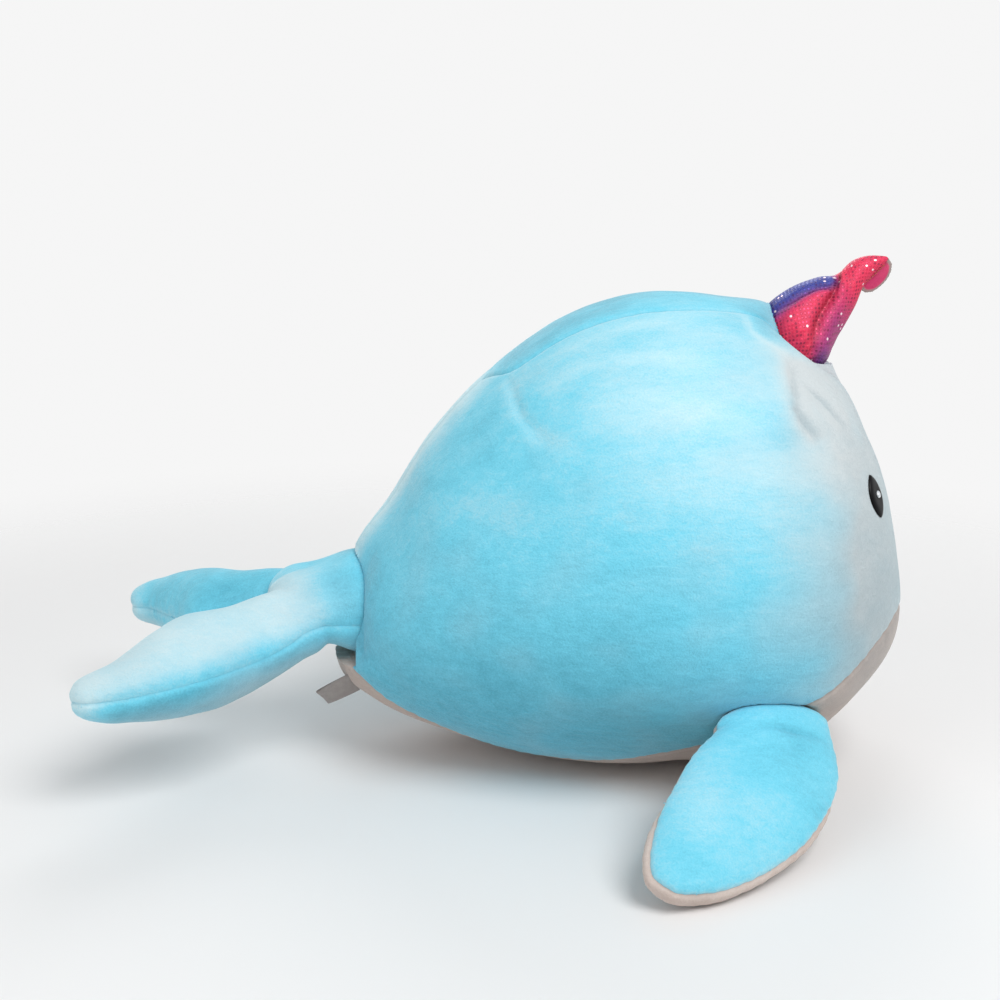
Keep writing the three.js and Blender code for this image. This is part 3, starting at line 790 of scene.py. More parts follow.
def belly_panel():
    rows = seam_end * crowded(BELLY_ROWS, 0.4)
    lower = panel_edges(rows)[1]
    across = crowded(BELLY_COLUMNS, 0.6)
    angle = lower[:, None] + (2 * np.pi - 2 * lower)[:, None] * across[None, :]
    along = np.repeat(rows[:, None], BELLY_COLUMNS, 1)
    skin, paints = shape_skin(along, angle)
    faces = grid_faces(BELLY_ROWS, BELLY_COLUMNS)[:, ::-1]
    return finish_panel(new_piece("belly_plush", skin, faces), paints)


belly = belly_panel()

# %% [markdown]
# ## Eyes
# Each eye is embroidered in black satin stitch over a low pad, with a small white highlight
# on it. A sphere is pressed flat, drawn to a slight point above and below, tilted to the
# face and then laid onto it, so its rim follows the plush all round.

# %% Eyes
EYE_ALONG, EYE_ANGLE = 0.243, math.radians(50.7)
EYE_WIDTH, EYE_HEIGHT, EYE_RISE, EYE_POINT = 13.5, 20.5, 1.3, 0.28
HIGHLIGHT_SIZE, HIGHLIGHT_UP, HIGHLIGHT_RISE = 3.4, 0.6, 0.7


def tree_of(*panels):
    """The panels' faces as one tree for rays, in millimetres of the outline."""
    points, faces = [], []
    for panel in panels:
        first = len(points)
        points += [Vector(p) for p in places_of(panel)]
        faces += [[first + i for i in face.vertices] for face in panel.data.polygons]
    return BVHTree.FromPolygons(points, faces)


def lay_on(tree, place, normal):
    """The point of the panels that lies below a place, seen along the normal."""
    hit = tree.ray_cast(Vector(place + normal * 30), Vector(-normal), 60)
    return np.array(hit[0]) if hit[0] is not None else place


def embroidered_patch(name, tree, centre, normal, width, height, lift, rise, point=0.0):
    """A low pad of stitches that lies on the panels of the tree."""
    bpy.ops.object.select_all(action="DESELECT")
    bpy.ops.mesh.primitive_uv_sphere_add(segments=72, ring_count=32, radius=1)
    patch = bpy.context.object
    patch.name = patch.data.name = name
    across = np.array([-normal[1], normal[0], 0.0])
    across /= np.linalg.norm(across)
    upward = np.cross(across, normal) * -1
    if upward[2] < 0:
        upward = -upward
    sphere = raw_points(patch)
    radius = np.hypot(sphere[:, 0], sphere[:, 1])
    sphere[:, 0] *= np.maximum(1 - sphere[:, 1] ** 2, 0) ** point
    flat = centre + across * sphere[:, :1] * width / 2 + upward * sphere[:, 1:2] * height / 2
    dome = np.sqrt(np.clip(1 - radius**5, 0, 1))
    thickness = np.where(sphere[:, 2] > 0, lift + rise * dome, lift - 0.25 * dome)
    ground = np.array([lay_on(tree, place, normal) for place in flat])
    put_places(patch, ground + normal * thickness[:, None])
    unroll(patch, "thread", sphere[:, :2] * [width / 2, height / 2])
    face_outwards(patch)
    bpy.ops.object.shade_smooth()
    return patch


def eye(side_name, panel, side):
    angle = EYE_ANGLE * side
    centre, normal = on_body(EYE_ALONG, angle), outward_at(EYE_ALONG, angle)
    pad = embroidered_patch(side_name + "_eye_satin", tree_of(panel), centre, normal,
                            EYE_WIDTH, EYE_HEIGHT, 0.2, EYE_RISE, EYE_POINT)
    raised = centre + np.array([0, 0, HIGHLIGHT_UP])
    spot = embroidered_patch(side_name + "_eye_glint", tree_of(pad), raised, normal,
                             HIGHLIGHT_SIZE, HIGHLIGHT_SIZE, 0.1, HIGHLIGHT_RISE)
    print(side_name, "eye at", centre.round(1))
    return pad, spot


right_eye, right_glint = eye("right", right_side, 1)
left_eye, left_glint = eye("left", left_side, -1)

# %% [markdown]
# ## Limbs
# A limb is a pillow sewn from two panels along its outline. Its formula is the same as that
# of its solid: a round root about the hinge, and then a section between a leading and a
# trailing edge that thins towards the tip.

# %% Limbs
TIP_STARTS = 0.8


class Limb:
    """The skin of a limb in its own axes: share from root to tip, angle round its section."""

    def __init__(self, half, radius, leading, trailing, tip, fullness, lift=(0, 0), root=0.22):
        self.half, self.radius, self.root = half, radius, root
        self.leading = smooth_line([[half, 0]] + leading + [tip])
        self.trailing = smooth_line([[-half, 0]] + trailing + [tip])
        self.fullness, self.lift = fullness, lift

    def skin(self, share, angle):
        share, angle = np.broadcast_arrays(np.asarray(share, float), np.asarray(angle, float))
        turn = np.clip(share / self.root, 0, 1) * np.pi / 2
        out = np.clip((share - self.root) / (1 - self.root), 0, 1)
        front, rear = self.leading(out), self.trailing(out)
        centre, chord = (front + rear) / 2, (front - rear) / 2
        in_root = share < self.root
        x = np.where(in_root, self.half * np.sin(turn), chord[..., 0]) * np.cos(angle)
        x = x + np.where(in_root, 0, centre[..., 0])
        y = np.where(in_root, -self.radius * np.cos(turn), centre[..., 1])
        y = y + np.where(in_root, 0, chord[..., 1]) * np.cos(angle)
        closing = np.sqrt(np.clip(1 - np.clip((out - TIP_STARTS) / (1 - TIP_STARTS), 0, 1) ** 2, 0, 1))
        thickness = self.radius * size_at(self.fullness, out) * closing
        thickness = np.where(in_root, self.radius * np.sin(turn), thickness)
        z = np.where(in_root, 0, size_at(self.lift, out)) - thickness * np.sin(angle)
        return np.stack([x, y, z], -1)

    def outward(self, share, angle):
        share = np.clip(share, 0.004, 0.994)
        length = self.skin(share + 0.003, angle) - self.skin(share - 0.003, angle)
        girth = self.skin(share, angle + 0.01) - self.skin(share, angle - 0.01)
        normal = np.cross(girth, length)
        return normal / np.maximum(np.linalg.norm(normal, axis=-1, keepdims=True), 1e-9)


def placed(local, place, axes):
    return np.asarray(place) + local @ axes.T


flipper_form = Limb(
    *FLIPPER_ROOT,
    [[21, 30], [9, 46], [-8.5, 60.5], [-32, 73], [-59, 80]],
    [[-46, 11], [-61, 26], [-76.5, 43], [-86.5, 58], [-89, 70]],
    [-80, 79.5], [1, 0.96, 0.96, 0.88, 0.73, 0.54])
print("flipper tip", placed(flipper_form.skin(1, 0), flipper_place, flipper_axes).round(1))

# %% [markdown]
# ## Parting a pillow
# A pillow is made whole, as a stuffed one is, and then parted along its seam into two panels.
# To cut along a bent surface, the height over that surface is put in place of z, one flat
# cut is made, and the points go back to where they were. The seam is then known as chains of
# points, and the skin is pulled in along it.

# %% Pillows
LIMB_WALL = 1.6


def closed_form(name, form, place, axes, mirror=1, rows=90, columns=96):
    share = np.linspace(0, 1, rows)[:, None]
    angle = np.linspace(0, 2 * np.pi, columns, endpoint=False)[None, :]
    places = placed(form.skin(share, angle).reshape(-1, 3), place, axes) * [1, mirror, 1]
    piece = new_piece(name, places, grid_faces(rows, columns, closed=True))
    merge_doubles(piece)
    face_outwards(piece)
    return piece


def joined(name, parts):
    bpy.ops.object.select_all(action="DESELECT")
    for part in parts:
        part.select_set(True)
    bpy.context.view_layer.objects.active = parts[0]
    bpy.ops.object.join()
    parts[0].name = parts[0].data.name = name
    return parts[0]


def apply_modifier(piece, kind, group=None, **settings):
    activate(piece)
    modifier = piece.modifiers.new(kind.lower(), kind)
    for key, value in settings.items():
        setattr(modifier, key, value)
    if group:
        modifier.vertex_group = group
    bpy.ops.object.modifier_apply(modifier=modifier.name)


def chains_of(edges):
    """Runs of joined edges, as lists of points."""
    links = {}
    for edge in edges:
        a, b = edge.verts
        links.setdefault(a, []).append(b)
        links.setdefault(b, []).append(a)
    chains, used = [], set()
    starts = sorted(links, key=lambda v: (len(links[v]) != 1, v.index))
    for start in starts:
        if start in used:
            continue
        chain, here = [start], start
        used.add(start)
        while True:
            onward = [v for v in links[here] if v not in used]
            if not onward:
                break
            here = onward[0]
            used.add(here)
            chain.append(here)
        if len(chain) > 20:
            if chain[0] in links[chain[-1]]:
                chain.append(chain[0])
            chains.append(chain)
    return chains


def part_pillow(pillow, height_over_seam, depth, pucker, rounding=SEAM_ROUNDING):
    """Cuts a pillow along its seam and on the midline, and returns its points and seams."""
    mesh = bmesh.new()
    mesh.from_mesh(pillow.data)
    bmesh.ops.bisect_plane(mesh, geom=mesh.verts[:] + mesh.edges[:] + mesh.faces[:],
                           plane_co=(0, 0, 0), plane_no=(0, 1, 0), dist=1e-6)
    layer = mesh.verts.layers.float_vector.new("place")
    places = np.array([v.co for v in mesh.verts]) / MM - SHIFT
    for vertex, height in zip(mesh.verts, height_over_seam(places)):
        vertex[layer] = vertex.co
        vertex.co.z = height * MM
    cut = bmesh.ops.bisect_plane(mesh, geom=mesh.verts[:] + mesh.edges[:] + mesh.faces[:],
                                 plane_co=(0, 0, 0), plane_no=(0, 0, 1), dist=1e-6)
    seam_edges = [e for e in cut["geom_cut"] if isinstance(e, bmesh.types.BMEdge)]
    for vertex in mesh.verts:
        vertex.co = vertex[layer]
    mesh.verts.index_update()
    mesh.normal_update()
    seams = [Seam(np.array([v.co for v in chain]) / MM - SHIFT, depth, pucker, rounding)
             for chain in chains_of(seam_edges)]
    places = np.array([v.co for v in mesh.verts]) / MM - SHIFT
    normals = np.array([v.normal for v in mesh.verts])
    faces = [[v.index for v in face.verts] for face in mesh.faces]
    mesh.free()
    print(pillow.name, "seams", [round(seam.arc[-1]) for seam in seams], "mm long")
    return places, normals, faces, seams


def panel_of(name, points, faces, chosen, paints):
    """A panel from the chosen faces of a parted pillow, with its paint and its wall."""
    kept = [face for face, keep in zip(faces, chosen) if keep]
    used = sorted({i for face in kept for i in face})
    number = {old: new for new, old in enumerate(used)}
    panel = new_piece(name, points[used], [[number[i] for i in face] for face in kept])
    for layer, values in paints.items():
        paint(panel, layer, values[used])
    give_thickness(panel, LIMB_WALL)
    print(name, "has", len(panel.data.polygons), "faces")
    return panel


# %% [markdown]
# ## Flippers
# A flipper has a blue top and a cream underside. Its stuffing rolls the seam up over the
# edge, so a rim of cream shows round the front and the tip. The form is remeshed into even
# faces first, which rounds its tip.

# %% Flippers
FLIPPER_VOXEL = 1.25
CREAM_RIM = 3.4
# The pile's leans on the flipper, in its own axes.
FLIPPER_LEANS = [([-62, 42, 0], [30, 30, 60], 0.34), ([0, 16, 0], [30, 16, 40], -0.2)]


def flipper_local(places):
    return (places - flipper_place) @ flipper_axes


def height_over_rim(places):
    """Height over the flipper's seam, which climbs over the edge from a third of the way out."""
    local = flipper_local(places)
    return -local[:, 2] - CREAM_RIM * smooth_share((local[:, 1] - 30) / 26)


def flipper_panels():
    pillow = closed_form("flipper", flipper_form, flipper_place, flipper_axes)
    apply_modifier(pillow, "REMESH", mode="VOXEL", voxel_size=FLIPPER_VOXEL * MM)
    apply_modifier(pillow, "SMOOTH", factor=0.5, iterations=5)
    points, normals, faces, seams = part_pillow(pillow, height_over_rim, 1.1, 0.22)
    bpy.data.objects.remove(pillow)
    local = flipper_local(points)
    depth, near = seam_depth(points, seams)
    rise = 0.5 * wave(points, 30, 12.0) + 0.12 * wave(points, 12, 15.0)
    root_fold = 1.3 * hump(local[:, 1] - 3 * np.sin(local[:, 0] / 9), 9, 2.6)
    root_fold *= np.clip(1 - np.abs(local[:, 0]) / 27, 0, 1)
    shaped = points + normals * (rise - depth - root_fold)[:, None]
    shaped[:, 2] = np.maximum(shaped[:, 2], 0.3)
    # Painted light: the plush is painted paler along the seam as a highlight on the rolled edge, and
    # darker in the root fold as shade.
    pale = 0.14 * wave(points * [1, 1, 0.6], 22, 21.0) + 0.35 * near - 0.25 * root_fold
    pale += spots_at(local, FLIPPER_LEANS)
    paints = {"pale": np.clip(pale, -1, 1), "near_seam": near, "grey": 0 * near}
    centres = np.array([points[face].mean(0) for face in faces])
    above = height_over_rim(centres) > 0
    return (panel_of("right_flipper_top_plush", shaped, faces, above, paints),
            panel_of("right_flipper_under_plush", shaped, faces, ~above, paints))


right_flipper_top, right_flipper_under = flipper_panels()
left_flipper_top = mirrored(right_flipper_top, "left_flipper_top_plush")
left_flipper_under = mirrored(right_flipper_under, "left_flipper_under_plush")

# %% [markdown]
# ## Whale's tail
# The stock of the tail and its two flukes are one pillow, sewn from an upper and a lower
# panel. Three rounded forms are laid into each other and remeshed into one skin. A smooth
# pass then fills the hollows where they meet, as the stuffing does in the real pillow.

# %% Whale's tail
fluke_axes = local_axes([0.41328, -0.90995, 0.03448], [-0.903, -0.416, -0.155])
tail_form = Limb(
    TAIL_ROOT_HALF, TAIL_ROOT_RADIUS,
    [[29.5, 8], [31, 18], [27, 30], [13, 41]],
    [[-29.5, 8], [-31, 18], [-27, 30], [-13, 41]],
    [0, 44], [1, 0.82, 0.68, 0.59, 0.49, 0.38], [0, 0, -1.5, -3.5, -4.8, -4.5])
fluke_form = Limb(
    *FLUKE_ROOT,
    [[16, 20], [25, 48], [27, 78], [22, 102], [17, 111]],
    [[-22, 24], [-27, 50], [-13, 77], [-1, 98], [1, 109]],
    [8, 116], [1, 1.15, 1.42, 1.24, 0.86, 0.72], [0, 4.5, 2.5, 1, -0.5, -1.7])
TAIL_VOXEL = 1.3
JUNCTION_REACH = 10.0
# About how far a fluke reaches past its hinge.
FLUKE_LENGTH = 115

tail_pillow = joined("tail_pillow", [
    closed_form("tail_stock", tail_form, tail_place, tail_axes),
    closed_form("fluke_right", fluke_form, fluke_place, fluke_axes),
    closed_form("fluke_left", fluke_form, fluke_place, fluke_axes, -1)])
apply_modifier(tail_pillow, "REMESH", mode="VOXEL", voxel_size=TAIL_VOXEL * MM)
apply_modifier(tail_pillow, "SMOOTH", factor=0.5, iterations=6)


def reach_of(places):
    """How far each point lies past its fluke's hinge, and its height over the fluke's seam."""
    local = np.stack([places[:, 0], -np.abs(places[:, 1]), places[:, 2]], 1)
    local = (local - fluke_place) @ fluke_axes
    return local[:, 1], -local[:, 2]


junction = tail_pillow.vertex_groups.new(name="junction")
tail_points = places_of(tail_pillow)
reach, _ = reach_of(tail_points)
for i, weight in enumerate(hump(reach, 0, JUNCTION_REACH)):
    if weight > 0.02:
        junction.add([i], float(weight), "REPLACE")
apply_modifier(tail_pillow, "SMOOTH", "junction", factor=0.5, iterations=14)
print("tail pillow has", len(tail_pillow.data.polygons), "faces")

# %% [markdown]
# ## Tail panels
# The pillow is parted along its outline into an upper and a lower panel, and on the midline into two
# halves, one for each fluke. A few folds are drawn in where it bends down from the body.

# %% Tail panels
ROOT_SEAM_DROP = 5.0
TAIL_SEAM_DEPTH, TAIL_SEAM_ROUNDING = 0.95, 4.6
# Where the stuffing pushes the skin out: the middle, the size and the height. The first spot
# is on the right alone, and those at the notch between the flukes are on both sides.
TAIL_FULLER = [([-95, -13, 100], [9, 10, 12], 1.8)]
NOTCH_FULLER = [([-121, -27, 87], [18, 13, 17], 6.0), ([-108, -10, 92], [12, 11, 13], 4.0)]
SIDE_BULGE, SIDE_BULGE_BEHIND, SIDE_BULGE_WIDTH = 1.4, 8, 6
FLUKE_TIP = 114
# Each fold: its line, its depth and its width.
TAIL_FOLDS = [
    ([[-80, -20, 103], [-81, -28, 94], [-81, -31, 82], [-82, -30, 70]], 1.8, 6.5),
    ([[-96, -34, 62], [-104, -38, 58], [-112, -44, 54]], 1.3, 3.0),
    ([[-86, -30, 60], [-93, -34, 57], [-100, -37, 54]], 1.2, 2.6),
    ([[-84, -32, 82], [-94, -35, 80], [-106, -40, 78]], 1.1, 4.0),
]


def seam_height(places):
    """Height over the surface that parts the upper panels from the lower ones."""
    reach, over_fluke = reach_of(places)
    over_fluke = over_fluke + size_at(fluke_form.lift, np.clip(reach / FLUKE_LENGTH, 0, 1))
    share = smooth_share((reach + 8) / 20)
    return over_fluke * share + (places[:, 2] - tail_place[2] + ROOT_SEAM_DROP) * (1 - share)


def tail_rise(places):
    """How far the stuffing pushes each point of the tail out, with nothing over the root."""
    rise = 0.7 * wave(places, 30, 31.0) + 0.15 * wave(places, 12, 35.0)
    on_right = places * [1, 0, 1] - np.abs(places) * [0, 1, 0]
    rise += spots_at(places, TAIL_FULLER) + spots_at(on_right, NOTCH_FULLER)
    behind = tail_place[0] - places[:, 0]
    aside = np.clip(np.abs(places[:, 1]) / TAIL_ROOT_HALF, 0, 1)
    rise += SIDE_BULGE * hump(behind, SIDE_BULGE_BEHIND, SIDE_BULGE_WIDTH) * aside**4
    return rise * np.clip(behind / 7, 0, 1) - 0.25 * np.clip(1 - behind / 5, 0, 1)


def tail_paints(places, near):
    """The tail's pile and its painted light: the near fluke's top is painted pale as a highlight and
    the far one deeper as shade, the tips and the seams get a painted highlight, the fold at the root
    painted shade, and the undersides are painted grey and darker, as shade.
    """
    past, over = reach_of(places)
    far_side = rising(places[:, 1], 0, 3)
    pale = 0.16 * wave(places * [0.6, 0.8, 1], 26, 41.0) + 0.08 * wave(places, 11, 43.0)
    on_top = np.clip((over + 1) / 9, -0.5, 1) * np.clip((past + 14) / 24, 0, 1)
    pale += (0.80 - 1.0 * far_side) * on_top + 0.8 * hump(past, FLUKE_TIP, 11)
    pale += 0.3 * near - 0.4 * soft_spot(places, [-80, -26, 96], [9, 16, 14])
    grey = 0.10 + (0.25 - 0.5 * far_side) * np.clip(over / 10, 0, 1)
    grey += 0.45 * np.clip((-over - 3) / 12, 0, 1) + 0.12 * wave(places, 30, 45.0)
    grey = np.clip(grey, 0, 1) * np.clip((past + 30) / 30, 0, 1)
    return {"pale": np.clip(pale, -1, 1), "near_seam": near, "grey": grey}


tail_points, tail_normals, tail_faces, tail_seams = part_pillow(
    tail_pillow, seam_height, TAIL_SEAM_DEPTH, PUCKER_HEIGHT, TAIL_SEAM_ROUNDING)
tail_depth, tail_near = seam_depth(tail_points, tail_seams)
tail_creases = sum(crease_depth(tail_points, *fold) for fold in TAIL_FOLDS)
tail_moves = tail_rise(tail_points) - tail_depth - tail_creases
tail_shaped = tail_points + tail_normals * tail_moves[:, None]
tail_painted = tail_paints(tail_points, tail_near)


def tail_panel(name, upper, side):
    centres = np.array([tail_points[face].mean(0) for face in tail_faces])
    chosen = (seam_height(centres) > 0) == upper
    chosen &= (centres[:, 1] < 0) == (side > 0)
    return panel_of(name, tail_shaped, tail_faces, chosen, tail_painted)


tail_panels = {
    (side_name, level): tail_panel(f"{side_name}_tail_{level}_plush", level == "upper", side)
    for side_name, side in (("right", 1), ("left", -1)) for level in ("upper", "under")}
bpy.data.objects.remove(tail_pillow)

# %% [markdown]
# ## Horn
# The horn is a sleeve of foil-dotted cloth, stuffed and wound with a hidden thread, so that
# its folds climb round it. Its outline is read from the side, rear edge and front edge
# apart, because the folds make it lean. The folds are lines of height and angle.

# %% Horn
HORN_REAR = [[-14, -15.2], [-9, -18.2], [0, -20.6], [7.7, -20.0], [16.9, -17.6], [25.2, -13.4],
             [31, -9.4], [36, -8.7], [41.4, -8.9], [48.4, -6.0], [53, -1.8], [55.6, 1.2]]
HORN_FRONT = [[-14, 15.2], [-9, 17.8], [0, 19.0], [7, 16.2], [14.5, 13.3], [26.4, 9.4],
              [33, 6.2], [38, 4.0], [44, 3.0], [50, 3.0], [54, 2.8], [55.6, 2.2]]
HORN_SIDE = [[-14, 17.4], [-11, 19.8], [-7, 21.2], [-3, 21.6], [0, 21.2], [7.2, 18.0],
             [14.3, 14.8], [21.5, 12.2], [28.7, 9.9], [36, 7.9], [43, 6.0], [49, 3.6], [53, 1.9],
             [55.6, 0.5]]
MAIN_FOLD = [[-14, 210], [-7, 204], [0.6, 187], [10, 177], [17, 171], [23.4, 159],
             [30.5, 120], [34, 85], [40, 50], [56, 20]]
BLUE_FOLD = [[-14, 118], [3.8, 130], [10.8, 134], [18, 139], [24.4, 149], [28, 142],
             [30.5, 120], [34, 84], [40, 50], [56, 18]]
REAR_FOLD = [[-14, -60], [10, -40], [25, -15], [40, 10], [56, 20]]
HORN_FOOT, HORN_TIP = -14, 55.6
HORN_ROWS, HORN_COLUMNS = 190, 200
# The flat cloth is a fan: its point lies at this height, and its foot is this wide.
HORN_APEX, HORN_FAN = 64.0, 20
FOIL_WALL = 0.7


def smooth_profile(points):
    line = smooth_line(points)(np.linspace(0, 1, 600))
    return lambda x: np.interp(x, line[:, 0], line[:, 1])


horn_rear, horn_front, horn_side = map(smooth_profile, (HORN_REAR, HORN_FRONT, HORN_SIDE))
main_fold, blue_fold, rear_fold = map(smooth_profile, (MAIN_FOLD, BLUE_FOLD, REAR_FOLD))


def turn_from(angle, line):
    """Degrees from a fold to an angle, from -180 to 180."""
    return (angle - line + 180) % 360 - 180


def fold_places(height, degrees):
    """Degrees from the main, the blue and the rear fold."""
    return [turn_from(degrees, fold(height)) for fold in (main_fold, blue_fold, rear_fold)]


def fold_push(height, degrees):
    """How far the folds push the sleeve out: a valley at each fold and a swell beside it."""
    past_main, past_blue, past_rear = fold_places(height, degrees)
    low = rising(height, -1, 2.2)
    main_depth = 2.6 * low * falling(height, 33, 2.5)
    blue_depth = 1.7 * low * falling(height, 27, 2.0)
    push = main_depth * (0.55 * hump(past_main, 26, 17) - hump(past_main, 0, 9))
    push = push + blue_depth * (0.45 * hump(past_blue, 9, 9) - hump(past_blue, -9, 7))
    push = push - 1.6 * low * hump(past_rear, 0, 12) * falling(height, 34, 3)
    angle = np.radians(degrees)
    gathers = np.sin(angle * 21 + 1.5 * np.sin(angle * 4))
    return push + 0.5 * hump(height, -4.5, 3.2) * gathers


def horn_paints(height, degrees):
    """Where the cloth is blue, where it is purple, and where a fold gets painted shade."""
    past_main, past_blue, _ = fold_places(height, degrees)
    low = rising(height, -1, 2.2)
    front = np.clip((past_main + 4) / 30, 0, 1)
    blue = (past_blue > -120) * falling(past_blue, 0, 4) * np.clip((32 - height) / 4, 0, 1)
    blue = np.clip(blue + 0.7 * front * falling(height, 1, 2.2), 0, 1)
    purple = front * np.clip((32 - height) / 18, 0, 1)
    deep = low * (hump(past_main, -3, 9) + 0.7 * hump(past_blue, -7, 6) * falling(height, 27, 2))
    return {"blue": blue, "purple": purple, "deep": np.clip(deep, 0, 1), "raw": 0 * blue}


def lay_fan(sleeve, height, angle):
    """The sleeve's UV map: a fan, cut open at the rear, whose last column ends past the first."""
    slope = math.atan2(HORN_FAN, HORN_APEX)
    radius = ((HORN_APEX - height) / math.cos(slope) + 0 * angle).ravel()
    fan = ((angle - np.pi) * math.sin(slope) + 0 * height).ravel()
    whole_turn = 2 * np.pi * math.sin(slope)
    layer = sleeve.data.uv_layers.new(name="cloth").data
    for face in sleeve.data.polygons:
        columns = [vertex % HORN_COLUMNS for vertex in face.vertices]
        wraps = max(columns) - min(columns) > 1
        for loop, vertex, column in zip(face.loop_indices, face.vertices, columns):
            turn = fan[vertex] + (whole_turn if wraps and column == 0 else 0)
            layer[loop].uv = (radius[vertex] * math.sin(turn), radius[vertex] * math.cos(turn))


def horn_sleeve():
    height = np.linspace(HORN_FOOT, HORN_TIP, HORN_ROWS)[:, None]
    degrees = np.linspace(0, 360, HORN_COLUMNS, endpoint=False)[None, :]
    angle = np.radians(degrees)
    middle = (horn_front(height) + horn_rear(height)) / 2
    aside = np.cos(angle) * horn_side(height)
    ahead = -np.sin(angle) * (horn_front(height) - horn_rear(height)) / 2
    grown = 1 + fold_push(height, degrees) / np.maximum(np.hypot(aside, ahead), 2.0)
    local = np.stack([aside * grown, height + 0 * angle, middle + ahead * grown], -1).reshape(-1, 3)
    ripples = 0.18 * wave(local, 7, 61.0)
    level = (angle + 0 * height).ravel()
    local += np.stack([ripples * np.cos(level), 0 * ripples, -ripples * np.sin(level)], 1)
    local[-HORN_COLUMNS:] = local[-HORN_COLUMNS:].mean(0)
    faces = grid_faces(HORN_ROWS, HORN_COLUMNS, closed=True)
    sleeve = new_piece("horn_foil_sleeve", placed(local, horn_place, horn_axes), faces)
    lay_fan(sleeve, height, angle)
    for name, values in horn_paints(height, degrees).items():
        paint(sleeve, name, values.ravel())
    merge_doubles(sleeve, 0.02)
    face_outwards(sleeve)
    give_thickness(sleeve, FOIL_WALL)
    print("horn sleeve has", len(sleeve.data.polygons), "faces")
    return sleeve


horn_sleeve_piece = horn_sleeve()

# %% [markdown]
# ## Horn's tip tab
# At the tip the sleeve's seam allowance sticks out as a small flap with raw grey edges, and
# a line of stitches holds it. A circle is drawn out to the flap's outline, inset for the
# rim and extruded to two cloths' thickness. Each stitch is a small ball, drawn out long.

# %% Tip tab
TAB_OUTLINE = [[37.0, 2.2], [36.0, 5.9], [39.0, 9.2], [45.0, 10.2], [50.7, 8.9], [54.8, 5.4],
               [55.3, 2.2], [52.4, 0.6], [46.0, 0.2], [40.5, 0.6]]
TAB_CENTRE = np.array([45.5, 4.9])
TAB_THICKNESS = 1.3
# Insets of the circle, from the rim inwards, as shares of its radius.
TAB_INSETS = (0.045, 0.06, 0.12, 0.2, 0.25)
STITCH_LINE = [[38.2, 3.9], [52.2, 3.2]]
STITCHES = 8
STITCH_SIZE = [0.72, 0.2, 0.2]
STITCH_SLANT = 0.12


def horn_point(height, forward, across=0.0):
    return horn_place + horn_axes @ np.array([across, height, forward])


def tab_curl(height, forward):
    """How far the flap curls out of its plane."""
    return 0.9 * np.sin(height / 5.5) * ((forward - 3) / 8)


def tip_tab():
    bpy.ops.object.select_all(action="DESELECT")
    bpy.ops.mesh.primitive_circle_add(vertices=96, radius=1, fill_type="NGON")
    tab = bpy.context.object
    tab.name = tab.data.name = "horn_tip_tab_cloth"
    bpy.ops.object.mode_set(mode="EDIT")
    for width in TAB_INSETS:
        bpy.ops.mesh.inset(thickness=width)
    bpy.ops.mesh.select_all(action="SELECT")
    bpy.ops.mesh.extrude_region_move(TRANSFORM_OT_translate={"value": (0, 0, 1)})
    bpy.ops.object.mode_set(mode="OBJECT")
    outline = smooth_line(TAB_OUTLINE + TAB_OUTLINE[:1])(np.linspace(0, 1, 400))
    off = outline - TAB_CENTRE
    bearing = np.unwrap(np.arctan2(off[:, 1], off[:, 0]))
    order = np.argsort(bearing)
    reach = np.hypot(*off.T)
    circle = raw_points(tab)
    around = np.arctan2(circle[:, 1], circle[:, 0])
    low = bearing.min()
    around = (around - low) % (2 * np.pi) + low
    radius = np.hypot(circle[:, 0], circle[:, 1])
    far = np.interp(around, bearing[order], reach[order], period=2 * np.pi) * radius
    ragged = 1 + 0.03 * radius**8 * np.sin(around * 31) * np.sin(around * 13 + 1)
    heights = TAB_CENTRE[0] + far * ragged * np.cos(around)
    forwards = TAB_CENTRE[1] + far * ragged * np.sin(around)
    raised = TAB_THICKNESS * (circle[:, 2] - 0.5) * (1 - 0.35 * radius**6)
    groove = hump(forwards, 3.5, 0.8)
    raised = raised * (1 - 0.3 * groove) + tab_curl(heights, forwards)
    put_places(tab, np.array([horn_point(h, f, a) for h, f, a in zip(heights, forwards, raised)]))
    unroll(tab, "cloth", np.stack([forwards + 40, heights], 1))
    paint(tab, "blue", 0 * radius)
    paint(tab, "purple", 0.45 + 0 * radius)
    # Painted shade along the groove of the stitches.
    paint(tab, "deep", 0.6 * groove)
    paint(tab, "raw", np.clip((radius - 0.78) / 0.1, 0, 1))
    face_outwards(tab)
    bpy.ops.object.shade_smooth()
    return tab


def tab_stitch(height, forward, side):
    bpy.ops.object.select_all(action="DESELECT")
    bpy.ops.mesh.primitive_uv_sphere_add(segments=12, ring_count=8, radius=1)
    stitch = bpy.context.object
    ball = raw_points(stitch) * STITCH_SIZE
    ball[:, 1] += STITCH_SLANT * ball[:, 0]
    across = side * TAB_THICKNESS * 0.42 + tab_curl(height, forward)
    places = [horn_point(height + x, forward + y, across + z) for x, y, z in ball]
    put_places(stitch, np.array(places))
    face_outwards(stitch)
    return stitch


def tab_stitches():
    """Short stitches along the tab, on both its sides."""
    start, end = np.array(STITCH_LINE)
    shares = (np.arange(STITCHES) + 0.5) / STITCHES
    stitches = joined("horn_tab_stitches", [
        tab_stitch(*(start + (end - start) * share), side) for side in (-1, 1) for share in shares])
    activate(stitches)
    bpy.ops.object.shade_smooth()
    return stitches


tab_piece = tip_tab()
stitches_piece = tab_stitches()
print("tab box", places_of(tab_piece).min(0).round(1), places_of(tab_piece).max(0).round(1))

# %% [markdown]
# ## Care label
# The label is a loop of thin tape, caught in the belly seam below the tail. It is bare.
# One edge of tape is selected, extruded step by step round the loop, and then given its
# thickness.

